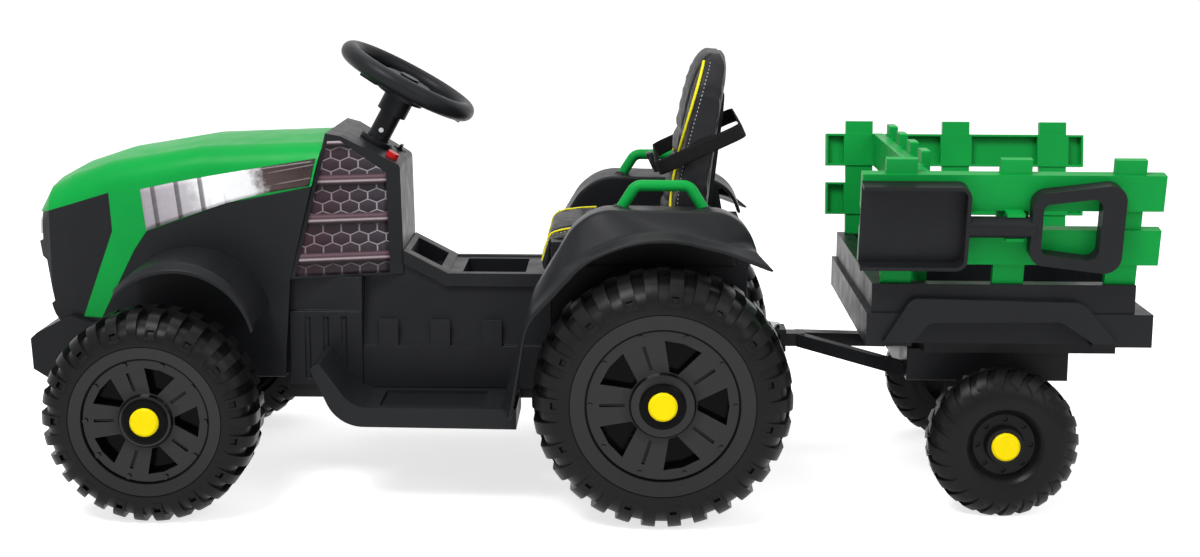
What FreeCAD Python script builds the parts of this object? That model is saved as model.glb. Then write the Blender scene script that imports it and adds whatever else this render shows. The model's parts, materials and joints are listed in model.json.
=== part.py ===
import FreeCAD, Part
import math
import os

import Sketcher
from FreeCAD import Placement, Rotation, Vector

# Ride-on tractor with a hitched trailer and a toy shovel. Millimetres, +Z up, the front towards -X, the left side
# towards -Y. Places along the length are measured back from the rear axle, so those ahead of it are negative.

# Single sizes: lengths in millimetres, angles in degrees, counts as plain numbers.
SIZES = {
    "rear_axle_x": 103.2,
    "wheelbase": 624,
    "axle_radius": 6,
    "running_clearance": 0.06,
    "moving_gap": 0.4,
    "shell_wall": 4,
    # wheels
    "rear_tyre_radius": 158,
    "rear_tyre_width": 126,
    "rear_bead_radius": 112.5,
    "rear_track": 456,
    "rear_lug_count": 15,
    "front_tyre_radius": 131,
    "front_tyre_width": 104,
    "front_bead_radius": 93.5,
    "front_track": 457,
    "front_lug_count": 15,
    "trailer_tyre_radius": 93,
    "trailer_tyre_width": 62,
    "trailer_bead_radius": 48,
    "trailer_track": 380,
    "trailer_lug_count": 24,
    "tyre_wall": 5,
    "lug_height": 8,
    "lug_waist": 0.38,
    "lug_short": 0.22,
    "lug_hole": 8,
    "lug_flare": 0.64,
    "lug_neck": 0.4,
    "lug_crown": 0.54,
    "lug_small": 0.5,
    "lug_start": 3,
    "trailer_lug_height": 4,
    "trailer_lug_width": 12,
    "trailer_lug_start": 21,
    "trailer_lug_slant": 24,
    "rim_dish": 14,
    "rim_web": 20,
    "rim_flange": 5,
    "rim_hub_radius": 28,
    "rim_spokes": 5,
    "rim_step": 0.82,
    "rim_bolt_ring": 0.775,
    "rim_spoke_end": 0.72,
    "rim_plate": 0.36,
    "rim_bolts": 10,
    "bolt_radius": 3.2,
    "bolt_height": 3,
    "window_depth": 18,
    "window_angle": 34,
    "window_taper": 0.22,
    "spoke_groove": 4,
    "spoke_turn": 36,
    "cap_radius": 17.5,
    "cap_depth": 12,
    "cap_stand": 5,
    # front end
    "form_low": 120,
    "form_shoulder": 34,
    "form_crown": 6,
    "front_body_low": 190,
    "front_skirt_low": 149,
    "front_skirt_front": -545,
    "bulkhead_x": -482,
    "shaft_hole_radius": 16,
    "shaft_hole_z": 241,
    "bumper_half": 118,
    "bumper_groove": 5,
    "bumper_grooves": 9,
    "lamp_width": 46,
    "lamp_height": 20,
    "lamp_depth": 6,
    "lamp_spacing": 108,
    "lamp_z": 338,
    "front_fender_out": 216,
    "front_fender_lip": 226,
    "fender_wall": 5,
    "fender_drop": 8,
    # dash tower and steering column
    "tower_front_half": 112,
    "tower_rear_half": 71,
    "column_tilt": 28.5,
    "wheel_centre_x": -332,
    "wheel_centre_z": 521,
    "wheel_ring_radius": 84,
    "wheel_grip_radius": 12,
    "wheel_spoke_width": 27,
    "wheel_spoke_depth": 9,
    "wheel_spokes": 3,
    "wheel_hub_radius": 32,
    "wheel_hub_top": 2,
    "wheel_hub_depth": 26,
    "collar_radius": 20,
    "collar_length": 24,
    "column_tube_radius": 14.5,
    "column_tube_length": 86,
    "bush_flange_radius": 22,
    "bush_flange": 7,
    "bush_sleeve_radius": 18,
    "shaft_radius": 5,
    "crank_radius": 29,
    "crank_drop": 460.7,
    "crank_pin_radius": 4,
    "crank_arm": 8,
    "horn_radius": 13,
    "horn_travel": 2,
    "button_radius": 8,
    "button_travel": 2.5,
    "button_stand": 7,
    "button_down_slope": 30,
    "button_side": 45,
    "rocker_radius": 8,
    "rocker_length": 14,
    "rocker_sink": 5,
    "rocker_lever": 4,
    "cross_bolt_radius": 1.8,
    "cross_bolt_head": 3.2,
    "cross_bolt_along": -72,
    # centre tunnel and footboards
    "tunnel_foot_half": 92,
    "tunnel_top_half": 70,
    "tunnel_block_half": 95,
    "tunnel_low": 118,
    "tunnel_bend_z": 190,
    "tunnel_waist_z": 258,
    "tunnel_top_z": 277,
    "tunnel_block_rear": -384,
    "tunnel_rear": -140,
    "skirt_stand": 5,
    "skirt_z": 188,
    "tab_z": 222,
    "tab_width": 26,
    "tab_pitch": 67,
    "tab_first": -364,
    "relief_stand": 6,
    "relief_low": 136,
    "relief_high": 233,
    "relief_margin": 4,
    "relief_slots": 3,
    "relief_slot": 6,
    "tray_lip": 6,
    "tray_pocket_front": -258,
    "tray_pocket_rear": -176,
    "tray_pocket_half": 50,
    "tray_pocket_depth": 20,
    "ramp_pocket_front": -326,
    "ramp_pocket_rear": -286,
    "floor_z": 132,
    "footboard_out": 205,
    "footboard_low": 106,
    "tread_margin": 14,
    "tread_depth": 4,
    "tread_front": -352,
    "tread_rear": -222,
    "pedal_hinge_x": -300,
    "pedal_hinge_z": 140,
    "pedal_length": 66,
    "pedal_tilt": 21,
    "pedal_thick": 6,
    "pedal_inner": 122,
    "pedal_width": 44,
    "pedal_pin_radius": 3,
    "pedal_ear": 7,
    # rear body, seat and handles
    "rear_body_half": 136,
    "rear_body_rear": 108,
    "rear_body_low": 185,
    "rear_body_top": 325,
    "fender_crest_y": 205,
    "fender_crease_y": 238,
    "fender_flare_y": 263,
    "fender_inner_drop": 4,
    "handle_y": 163,
    "handle_radius": 7,
    "handle_top": 407,
    "handle_foot_front": -52,
    "handle_foot_rear": 50,
    "handle_bend": 14,
    "handle_lean": 18,
    "boss_radius": 8.5,
    "boss_height": 4,
    "seat_pan_thick": 6,
    "seat_half": 122,
    "cushion_front": -147,
    "cushion_reach": 10,
    "cushion_rear": -7,
    "cushion_low": 288,
    "cushion_top": 348,
    "cushion_crown": 8,
    "cushion_round": 16,
    "back_half": 104,
    "back_foot_half": 110,
    "back_top": 567,
    "back_gap": 1,
    "back_shell": 6,
    "back_shell_half": 62,
    "back_shell_round": 30,
    "belt_width": 19,
    "belt_thick": 2.2,
    "belt_tilt": 25,
    "belt_front": -1,
    "belt_rear": 104,
    "belt_z": 412,
    "belt_round": 14,
    "buckle_length": 46,
    "buckle_height": 27,
    "buckle_thick": 9,
    "battery_length": 151,
    "battery_width": 66,
    "battery_height": 94,
    "battery_front": -96,
    "control_box_length": 80,
    "control_box_width": 60,
    "control_box_height": 26,
    "control_box_front": -232,
    "gearbox_front": -42,
    "gearbox_rear": 62,
    "gearbox_low": 116,
    "gearbox_inner": 118,
    "gearbox_width": 42,
    "motor_radius": 18,
    "motor_length": 58,
    "motor_x": 34,
    "motor_z": 150,
    "socket_radius": 12,
    "socket_bore": 5.5,
    "socket_floor": 2,
    "socket_length": 16,
    "socket_x": -430,
    "socket_z": 255,
    # front axle and steering linkage
    "beam_half": 16,
    "beam_reach": 164,
    "beam_low": 152,
    "beam_high": 185,
    "kingpin_y": 155,
    "kingpin_head": 9,
    "knuckle_half": 14,
    "knuckle_low": 117,
    "knuckle_arm": 46.5,
    "knuckle_arm_high": 126.7,
    "arm_pin_radius": 4,
    "tie_rod_half": 8,
    "tie_rod_low": 127,
    "tie_rod_high": 133,
    "tie_rod_eye_half": 16,
    "tie_slot_room": 0.9,
    # hitch and trailer
    "hitch_x": 150,
    "hitch_low": 166,
    "hitch_high": 196,
    "hitch_jaw": 6,
    "hitch_half": 20,
    "hitch_plate": 10,
    "hitch_plate_top": 255,
    "eye_radius": 18,
    "pin_head_radius": 11,
    "pin_head": 5,
    "trailer_axle_x": 424,
    "tub_half": 200,
    "tub_wall": 22,
    "tub_rim_z": 293,
    "tub_step_z": 257,
    "tub_low": 216,
    "tub_front": 256,
    "tub_rear": 578,
    "tub_ledge_front": 250,
    "tub_ledge_rear": 600,
    "tub_ledge": 4,
    "hull_front": 330,
    "hull_rear": 570,
    "hull_half": 150,
    "hull_low": 196,
    "hull_wall": 8,
    "arch_stand": 9,
    "chassis_front": 313,
    "chassis_rear": 518,
    "chassis_half": 125,
    "chassis_low": 154,
    "leg_half": 24,
    "leg_width": 25,
    "leg_low": 76,
    "draw_arm_width": 22,
    "draw_arm_end": 88,
    "draw_arm_drop": 20,
    "fence_flare": 10,
    "fence_front": 238,
    "fence_rear": 602,
    "post_first": 285,
    "post_pitch": 137,
    "post_width": 38,
    "post_height": 159,
    "post_thick": 10,
    "plank_height": 45,
    "plank_low": 27,
    "plank_high": 96,
    "plank_thick": 16,
    "plank_stand": 7,
    "tenon_depth": 22,
    "tenon_width": 30,
    "tenon_thick": 9,
    "rib": 3,
    "front_fence_x": 304,
    "front_fence_posts": 4,
    "front_fence_pitch": 96,
    "front_fence_post": 34,
    "shovel_front": 237,
    "blade_rear": 366,
    "blade_height": 106,
    "blade_depth": 25,
    "blade_wall": 4.5,
    "blade_round": 14,
    "shovel_z": 80,
    "shovel_shaft_radius": 13,
    "grip_front": 440,
    "grip_rear": 551,
    "grip_front_half": 44,
    "grip_rear_half": 58,
    "grip_bar": 28,
    "grip_side": 13,
    "clip_width": 22,
    "clip_wall": 4,
}

# Points of the side view: back from the rear axle, and up from the floor.
POINTS = {
    # lower edge of the green hood, from the tip round the side strap to the tower
    "hood_tip": (-840, 343),
    "strap_top_front": (-702, 386),
    "strap_waist_front": (-699, 337),
    "strap_foot_front": (-741, 225),
    "strap_foot_rear": (-717, 224),
    "strap_waist_rear": (-672, 312),
    "panel_front": (-655, 337),
    "panel_middle": (-553, 374),
    "panel_rear": (-420, 401),
    "hood_above": (-420, 490),
    "hood_ahead": (-840, 490),
    # front edge of the black nose with its two steps
    "nose_brow": (-796, 390),
    "nose_step_top": (-795, 322),
    "nose_step_out": (-801, 319),
    "nose_step_low": (-797, 300),
    "nose_step_in": (-790, 296),
    "nose_lip_top": (-780, 244),
    "nose_lip_out": (-785, 240),
    "nose_lip_low": (-780, 227),
    "nose_foot": (-771, 214),
    "seam_foot": (-729, 214),
    "seam_strap": (-729, 225),
    "seam_waist": (-690, 330),
    "seam_top": (-690, 400),
    # bumper
    "bumper_top_front": (-799, 206),
    "bumper_front_high": (-808, 198),
    "bumper_front_low": (-806, 158),
    "bumper_under": (-784, 144),
    "bumper_heel": (-715, 144),
    "bumper_heel_top": (-715, 214),
    "bumper_top_rear": (-757, 228),
    # dash tower
    "cowl_foot": (-473, 277),
    "cowl_top": (-427, 462),
    "dash_front": (-409, 458),
    "dash_rear": (-336, 418),
    "tower_back": (-333, 300),
    # storage tray ramp behind the tower
    "ramp_top": (-333, 309),
    "ramp_foot": (-275, 279),
    # front fender arch, outer face
    "arch_front": (-672, 281),
    "arch_crest": (-585, 315),
    "arch_rear": (-500, 240),
    # footboard side view
    "board_toe": (-436, 182),
    "board_toe_top": (-424, 188),
    "board_bend_top": (-384, 132),
    "board_bend": (-402, 108),
    "board_heel": (-180, 106),
    "board_heel_top": (-180, 132),
    # rear fender sections: foot, knee, front and rear shoulders, tail
    "crest_foot": (-199, 132),
    "crest_knee": (-161, 276),
    "crest_front": (-112, 360),
    "crest_crown": (-82, 383),
    "crest_rear": (97, 381),
    "crest_tail": (115, 332),
    "crease_foot": (-191, 132),
    "crease_knee": (-167, 257),
    "crease_front": (-116, 323),
    "crease_crown": (-22, 367),
    "crease_rear": (75, 347),
    "crease_tail": (113, 338),
    "flare_foot": (-187, 132),
    "flare_knee": (-167, 252),
    "flare_front": (-95, 330),
    "flare_crown": (-15, 364),
    "flare_rear": (75, 341.5),
    "flare_tail": (133, 319.5),
    # trailer wheel arch moulding
    "moulding_front": (270, 222),
    "moulding_front_top": (303, 277),
    "moulding_rear_top": (512, 273),
    "moulding_rear": (556, 222),
    "moulding_inner_rear": (527, 222),
    "moulding_inner_rear_top": (486, 249),
    "moulding_inner_front_top": (326, 247),
    "moulding_inner_front": (306, 222),
}

# Cross sections of the hood form: place, half width and height of the crown line.
FORM_SECTIONS = {
    "tip": (-807, 76, 354),
    "brow": (-783, 98, 390),
    "front": (-752, 106, 407),
    "middle": (-698, 111, 425),
    "high": (-586, 114, 444),
    "rear": (-418, 114, 451),
}

# Level sections of the backrest: height, front face, rear face and side draw-in.
BACK_SECTIONS = {
    "foot": (331.4, -1, 52, 10),
    "low": (352, -5, 60, 2),
    "lumbar": (400, 4, 66, 0),
    "middle": (450, 12, 72, 0),
    "upper": (510, 24, 80, 4),
    "high": (548, 36, 83, 22),
    "crown": (566, 51, 76, 44),
}


class Size:
    """A number together with the sheet expression that drives it."""

    def __init__(self, text, value):
        self.text = text
        self.value = value

    def __float__(self):
        return float(self.value)

    def __neg__(self):
        return Size(f"(-{self.text})", -self.value)

    def __add__(self, other):
        return Size(f"({self.text} + {text_of(other)})", self.value + float(other))

    def __radd__(self, other):
        return Size(f"({text_of(other)} + {self.text})", float(other) + self.value)

    def __sub__(self, other):
        return Size(f"({self.text} - {text_of(other)})", self.value - float(other))

    def __rsub__(self, other):
        return Size(f"({text_of(other)} - {self.text})", float(other) - self.value)

    def __mul__(self, other):
        return Size(f"({self.text} * {text_of(other)})", self.value * float(other))

    def __rmul__(self, other):
        return Size(f"({text_of(other)} * {self.text})", float(other) * self.value)

    def __truediv__(self, other):
        return Size(f"({self.text} / {text_of(other)})", self.value / float(other))


def text_of(value):
    return value.text if isinstance(value, Size) else f"({value})"


def sine(angle):
    return Size(f"sin({angle.text} * 1 deg)", math.sin(math.radians(float(angle))))


def cosine(angle):
    return Size(f"cos({angle.text} * 1 deg)", math.cos(math.radians(float(angle))))


def tangent(angle):
    return Size(f"tan({angle.text} * 1 deg)", math.tan(math.radians(float(angle))))


NOUGHT = Size("0", 0.0)

# The document, its sheet, and one Size for each cell.
doc = FreeCAD.newDocument("RideOnTractor")
sheet = doc.addObject("Spreadsheet::Sheet", "Sizes")
nodes = []


class Cells:
    """The driving sizes by name."""


S = Cells()


def add_cell(row, alias, value):
    sheet.set(f"A{row}", alias.replace("_", " "))
    sheet.set(f"B{row}", str(value))
    sheet.setAlias(f"B{row}", alias)
    setattr(S, alias, Size(f"Sizes.{alias}", float(value)))


def fill_sheet():
    cells = dict(SIZES)
    for name, (x, z) in POINTS.items():
        cells[f"{name}_x"] = x
        cells[f"{name}_z"] = z
    for name, (x, half, top) in FORM_SECTIONS.items():
        cells[f"form_{name}_x"] = x
        cells[f"form_{name}_half"] = half
        cells[f"form_{name}_top"] = top
    for name, (z, front, rear, inset) in BACK_SECTIONS.items():
        cells[f"back_{name}_z"] = z
        cells[f"back_{name}_front"] = front
        cells[f"back_{name}_rear"] = rear
        cells[f"back_{name}_inset"] = inset
    for row, (alias, value) in enumerate(cells.items(), start=1):
        add_cell(row, alias, value)
    doc.recompute()


fill_sheet()


def along(distance):
    """Place along the length of something measured back from the rear axle."""
    return S.rear_axle_x + distance


def point(name):
    return along(getattr(S, f"{name}_x")), getattr(S, f"{name}_z")


def points(*names):
    return [point(name) for name in names]


# Small builders: each returns a document object whose sizes are tied to the sheet.
VIEWS = {
    "side": Rotation(Vector(1, 0, 0), 90),
    "plan": Rotation(),
    "front": Rotation(Vector(1, 1, 1), 120),
}
DIRECTIONS = {
    "X": Rotation(Vector(0, 1, 0), 90),
    "Y": Rotation(Vector(1, 0, 0), -90),
    "Z": Rotation(),
}
count = {"made": 0}


def add(kind, purpose):
    """Adds a helper object under a name of its own."""
    count["made"] += 1
    return doc.addObject(kind, f"{purpose}{count['made']}")


def tie(thing, path, value):
    if isinstance(value, Size):
        thing.setExpression(path, value.text)
    else:
        setattr(thing, path, value)


def put(thing, x, y, z, rotation=None):
    """Places an object at sheet-driven coordinates."""
    base = Vector(float(x), float(y), float(z))
    thing.Placement = Placement(base, rotation or Rotation())
    for axis, value in zip("xyz", (x, y, z)):
        if isinstance(value, Size):
            thing.setExpression(f"Placement.Base.{axis}", value.text)
    return thing


def box(x, y, z):
    """A block between pairs of limits on the three axes."""
    thing = add("Part::Box", "Block")
    for side, (low, high) in zip(("Length", "Width", "Height"), (x, y, z)):
        tie(thing, side, high - low)
    return put(thing, x[0], y[0], z[0])


def rod(direction, radius, limits, across):
    """A cylinder along an axis between two limits; across gives the other two coordinates in order."""
    thing = add("Part::Cylinder", "Rod")
    tie(thing, "Radius", radius)
    tie(thing, "Height", limits[1] - limits[0])
    place = list(across)
    place.insert("XYZ".index(direction), limits[0])
    return put(thing, *place, DIRECTIONS[direction])


def pinned(sketch, corners):
    """Draws a closed outline with each corner tied to the sheet."""
    total = len(corners)
    flat = [Vector(float(x), float(y), 0) for x, y in corners]
    sketch.addGeometry([Part.LineSegment(flat[i], flat[(i + 1) % total]) for i in range(total)], False)
    for i in range(total):
        sketch.addConstraint(Sketcher.Constraint("Coincident", i, 2, (i + 1) % total, 1))
    for i, corner in enumerate(corners):
        for kind, value in zip(("DistanceX", "DistanceY"), corner):
            index = sketch.addConstraint(Sketcher.Constraint(kind, -1, 1, i, 1, float(value)))
            if isinstance(value, Size):
                sketch.setExpression(f"Constraints[{index}]", value.text)
    return sketch


def extruded(view, corners, low, high, rounds=None):
    """An outline in one view, pushed between two limits along the view's own axis."""
    sketch = add("Sketcher::SketchObject", "Outline")
    sketch.Placement = Placement(Vector(), VIEWS[view])
    pinned(sketch, corners)
    thing = add("Part::Extrusion", "Extrusion")
    thing.Base = sketch
    thing.DirMode = "Normal"
    thing.Solid = True
    ahead, behind = (-low, high) if view == "side" else (high, -low)
    tie(thing, "LengthFwd", ahead)
    tie(thing, "LengthRev", behind)
    return rounded(thing, view, corners, rounds) if rounds else thing


def rounded(base, view, corners, rounds):
    """Rounds the edges that run through the numbered corners of an extruded outline."""
    doc.recompute()
    turn = VIEWS[view].inverted()
    wanted = []
    for number, edge in enumerate(base.Shape.Edges, start=1):
        ends = [turn.multVec(vertex.Point) for vertex in edge.Vertexes]
        for corner, radius in rounds.items():
            spot = [float(value) for value in corners[corner]]
            if all(math.dist((end.x, end.y), spot) < 0.01 for end in ends):
                wanted.append((number, float(radius), float(radius)))
    thing = add("Part::Fillet", "Rounded")
    thing.Base = base
    thing.Edges = wanted
    return thing


def fuse(*things):
    thing = add("Part::MultiFuse", "Joined")
    thing.Shapes = list(things)
    thing.Refine = True
    return thing


def cut(base, *tools):
    thing = add("Part::Cut", "Trimmed")
    thing.Base = base
    thing.Tool = tools[0] if len(tools) == 1 else fuse(*tools)
    return thing


def common(first, second):
    thing = add("Part::Common", "Shared")
    thing.Base = first
    thing.Tool = second
    return thing


def mirrored(source):
    """The same piece on the other side of the centre line."""
    thing = add("Part::Mirroring", "Mirrored")
    thing.Source = source
    thing.Normal = (0, 1, 0)
    return thing


def solid(shape):
    """A piece whose form is made with Part's own functions."""
    thing = add("Part::Feature", "Form")
    thing.Shape = shape
    return thing


def both(source):
    return fuse(source, mirrored(source))


def node(name, thing):
    """Gives a finished piece the label that names its file."""
    thing.Label = name
    nodes.append(thing)
    return thing


# Front end: one lofted form, parted into hood, nose and front body by side-view outlines.
def form_wire(x, half, top, low):
    shoulder = float(S.form_shoulder)
    inner = half - shoulder
    slant = shoulder * (1 - math.sqrt(0.5))
    crown = top + float(S.form_crown)
    foot_left, foot_right = Vector(x, -half, low), Vector(x, half, low)
    side_left, side_right = Vector(x, -half, top - shoulder), Vector(x, half, top - shoulder)
    top_left, top_right = Vector(x, -inner, top), Vector(x, inner, top)
    edges = [
        Part.LineSegment(foot_right, side_right),
        Part.Arc(side_right, Vector(x, half - slant, top - slant), top_right),
        Part.Arc(top_right, Vector(x, 0, crown), top_left),
        Part.Arc(top_left, Vector(x, slant - half, top - slant), side_left),
        Part.LineSegment(side_left, foot_left),
        Part.LineSegment(foot_left, foot_right),
    ]
    return Part.Wire([edge.toShape() for edge in edges])


def front_form(inset, low, front_shift, rear_shift):
    names = list(FORM_SECTIONS)
    wires = []
    for name in names:
        shift = front_shift if name == names[0] else rear_shift if name == names[-1] else 0
        x = float(along(getattr(S, f"form_{name}_x"))) + shift
        half = float(getattr(S, f"form_{name}_half")) - inset
        top = float(getattr(S, f"form_{name}_top")) - inset
        wires.append(form_wire(x, half, top, low))
    return solid(Part.makeLoft(wires, True, True))


def dash_rear_corner():
    """Rear edge of the dash, which lies square to the steering column."""
    x, _ = point("dash_rear")
    front_x, front_z = point("dash_front")
    return x, front_z - (x - front_x) * tangent(S.column_tilt)


def tower_block():
    """Outer block of the dash tower, narrower towards the driver."""
    foot, back = point("cowl_foot"), point("tower_back")
    side = [foot, *points("cowl_top", "dash_front"), dash_rear_corner(), back, (back[0], foot[1])]
    wide = S.tower_front_half
    block = extruded("side", side, -wide, wide, {2: 6, 3: 8})
    plan = [
        (foot[0], -S.tower_front_half),
        (back[0], -S.tower_rear_half),
        (back[0], S.tower_rear_half),
        (foot[0], S.tower_front_half),
    ]
    return common(block, extruded("plan", plan, 0, S.wheel_centre_z))


def behind_cowl(wide):
    """Everything behind the slanted front of the dash tower."""
    foot, top = point("cowl_foot"), point("cowl_top")
    rear_x, _ = point("tower_back")
    ceiling = S.wheel_centre_z
    return extruded("side", [foot, top, (top[0], ceiling), (rear_x, ceiling), (rear_x, foot[1])], -wide, wide)


def make_front_end():
    wall = float(S.shell_wall)
    low = float(S.form_low)
    outer = front_form(0, low, 0, 0)
    inner = front_form(wall, low - wall, wall, wall)
    wide = S.form_rear_half + S.form_shoulder
    hood_side = extruded(
        "side",
        points(
            "hood_tip", "strap_top_front", "strap_waist_front", "strap_foot_front", "strap_foot_rear",
            "strap_waist_rear", "panel_front", "panel_middle", "panel_rear", "hood_above", "hood_ahead",
        ),
        -wide, wide,
    )
    tower = tower_block()
    behind = behind_cowl(wide)
    node("hood", cut(common(outer, hood_side), inner, behind))

    nose_front = points(
        "nose_brow", "nose_step_top", "nose_step_out", "nose_step_low", "nose_step_in", "nose_lip_top",
        "nose_lip_out", "nose_lip_low", "nose_foot",
    )
    seam = points("seam_foot", "seam_strap", "seam_waist", "seam_top")
    nose_side = extruded("side", nose_front + seam, -wide, wide)
    nose_room = [(x + S.shell_wall * 3, z) for x, z in nose_front[:-1]]
    foot_x, foot_z = nose_front[-1]
    nose_room += [(foot_x + S.shell_wall * 3, foot_z - S.shell_wall), (seam[0][0], foot_z - S.shell_wall)]
    nose_hollow = common(inner, extruded("side", nose_room + seam[1:], -wide, wide))
    nose_block = cut(common(outer, nose_side), hood_side)
    node("nose_grille", cut(nose_block, nose_hollow))

    body_low, skirt_low = S.front_body_low, S.front_skirt_low
    rear_x = along(S.bulkhead_x)
    top_x, _ = point("hood_above")
    _, panel_z = point("panel_rear")
    above = panel_z + S.form_shoulder
    body_side = extruded(
        "side",
        [
            (seam[0][0], body_low), *seam[1:], (seam[3][0], above), (top_x, above), point("cowl_foot"),
            (rear_x, skirt_low), (along(S.front_skirt_front), skirt_low), (along(S.front_skirt_front), body_low),
        ],
        -wide, wide,
    )
    shell = cut(common(outer, body_side), inner, hood_side, behind)
    half = S.form_rear_half - S.shell_wall
    bulkhead = box((rear_x - S.shell_wall, rear_x), (-half, half), (skirt_low, S.tunnel_top_z))
    hole = rod("X", S.shaft_hole_radius, (rear_x - S.bumper_half, rear_x + S.bumper_half), (0, S.shaft_hole_z))
    front_body = node("front_body", fuse(shell, cut(bulkhead, hole)))
    return outer, nose_block, tower, front_body


def make_lamps(nose_block):
    front_x, _ = point("nose_step_out")
    rear_x, _ = point("nose_step_top")
    depth = S.lamp_depth
    lamps = []
    for side in (-1, 1):
        centre = side * S.lamp_spacing / 2
        low, high = S.lamp_z - S.lamp_height / 2, S.lamp_z + S.lamp_height / 2
        lamps.append(
            box((rear_x - depth, rear_x + depth), (centre - S.lamp_width / 2, centre + S.lamp_width / 2), (low, high))
        )
    node("headlights", cut(fuse(*lamps), nose_block))


def make_bumper(nose_block, front_body):
    half = S.bumper_half
    names = (
        "bumper_top_front", "bumper_front_high", "bumper_front_low", "bumper_under", "bumper_heel", "bumper_heel_top",
        "bumper_top_rear",
    )
    block = extruded("side", points(*names), -half, half, {1: 5, 3: 10})
    grooves = []
    front_x, front_z = point("bumper_top_front")
    rear_x, rear_z = point("bumper_top_rear")
    pitch = 2 * half / S.bumper_grooves
    for number in range(int(float(S.bumper_grooves))):
        middle = pitch * (number + 0.5) - half
        limits = (middle - S.bumper_groove / 2, middle + S.bumper_groove / 2)
        outline = [
            (front_x + S.bumper_groove, front_z - S.bumper_groove),
            (rear_x, rear_z - S.bumper_groove),
            (rear_x, rear_z + S.bumper_groove),
            (front_x + S.bumper_groove, front_z + S.bumper_groove),
        ]
        grooves.append(extruded("side", outline, *limits))
    node("front_bumper", cut(block, nose_block, front_body, *grooves))


def arch_band(y, drop):
    """Closed section of the front fender at one distance from the centre line."""
    hub = Vector(float(along(-S.wheelbase)), y, float(S.front_tyre_radius))
    outer = []
    for name in ("arch_front", "arch_crest", "arch_rear"):
        x, z = point(name)
        outer.append(Vector(float(x), y, float(z) - drop))
    inner = []
    for spot in outer:
        inward = (hub - spot).normalize()
        inner.append(spot + inward * float(S.fender_wall))
    edges = [
        Part.Arc(*outer).toShape(),
        Part.LineSegment(outer[2], inner[2]).toShape(),
        Part.Arc(*reversed(inner)).toShape(),
        Part.LineSegment(inner[0], outer[0]).toShape(),
    ]
    return Part.Wire(edges)


def make_front_fenders(outer):
    drop = float(S.fender_drop)
    inner_y = float(S.form_high_half) - float(S.form_shoulder)
    stations = ((inner_y, -drop / 2), (float(S.front_fender_out), 0), (float(S.front_fender_lip), drop))
    band = solid(Part.makeLoft([arch_band(-y, fall) for y, fall in stations], True, True))
    left = cut(band, outer)
    node("front_fenders", both(left))


# Dash tower and everything on the steering column.
def on_column(thing, across, side, height):
    """Places an object in the column's own frame: across the slope, sideways, and up the column."""
    tilt = S.column_tilt
    x = along(S.wheel_centre_x) + across * cosine(tilt) + height * sine(tilt)
    z = S.wheel_centre_z - across * sine(tilt) + height * cosine(tilt)
    put(thing, x, side, z, Rotation(Vector(0, 1, 0), float(tilt)))
    thing.setExpression("Placement.Rotation.Angle", f"{tilt.text} * 1 deg")
    return thing


def column_rod(radius, low, high, across=0, side=0):
    thing = add("Part::Cylinder", "ColumnRod")
    tie(thing, "Radius", radius)
    tie(thing, "Height", high - low)
    return on_column(thing, across, side, low)


def column_box(across, side, height):
    thing = add("Part::Box", "ColumnBlock")
    for name, (low, high) in zip(("Length", "Width", "Height"), (across, side, height)):
        tie(thing, name, high - low)
    return on_column(thing, across[0], side[0], height[0])


def dash_height():
    """Height of the dash face in the column's frame."""
    x, z = point("dash_front")
    return (x - along(S.wheel_centre_x)) * sine(S.column_tilt) + (z - S.wheel_centre_z) * cosine(S.column_tilt)


def make_tower(tower):
    wall = S.shell_wall
    foot, back = point("cowl_foot"), point("tower_back")
    top_x, top_z = point("cowl_top")
    dash_x, dash_z = point("dash_front")
    rear_x, rear_z = dash_rear_corner()
    room = [
        (foot[0] - wall * 2, foot[1] - wall),
        (foot[0] - wall * 2, foot[1] + S.form_shoulder),
        (top_x + wall, top_z - wall * 3),
        (dash_x, dash_z - wall * 1.2),
        (rear_x - wall, rear_z - wall),
        (back[0] - wall, foot[1] - wall),
    ]
    plan = [
        (foot[0] - wall * 2, wall - S.tower_front_half),
        (back[0], wall - S.tower_rear_half),
        (back[0], S.tower_rear_half - wall),
        (foot[0] - wall * 2, S.tower_front_half - wall),
    ]
    wide = S.tower_front_half
    hollow = common(extruded("side", room, -wide, wide), extruded("plan", plan, 0, S.wheel_centre_z))
    dash = dash_height()
    bush_hole = column_rod(S.bush_sleeve_radius, dash - wall * 4, dash + wall)
    button_hole = column_rod(
        S.button_radius + S.moving_gap, dash - wall * 4, dash + wall, S.button_down_slope, -S.button_side
    )
    half_slot = S.rocker_radius + S.moving_gap
    half_length = S.rocker_length / 2 + S.moving_gap
    rocker_hole = column_box(
        (S.button_down_slope - half_slot, S.button_down_slope + half_slot),
        (S.button_side - half_length, S.button_side + half_length),
        (dash - wall * 4, dash + wall),
    )
    node("dash_tower", cut(tower, hollow, bush_hole, button_hole, rocker_hole))


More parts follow.
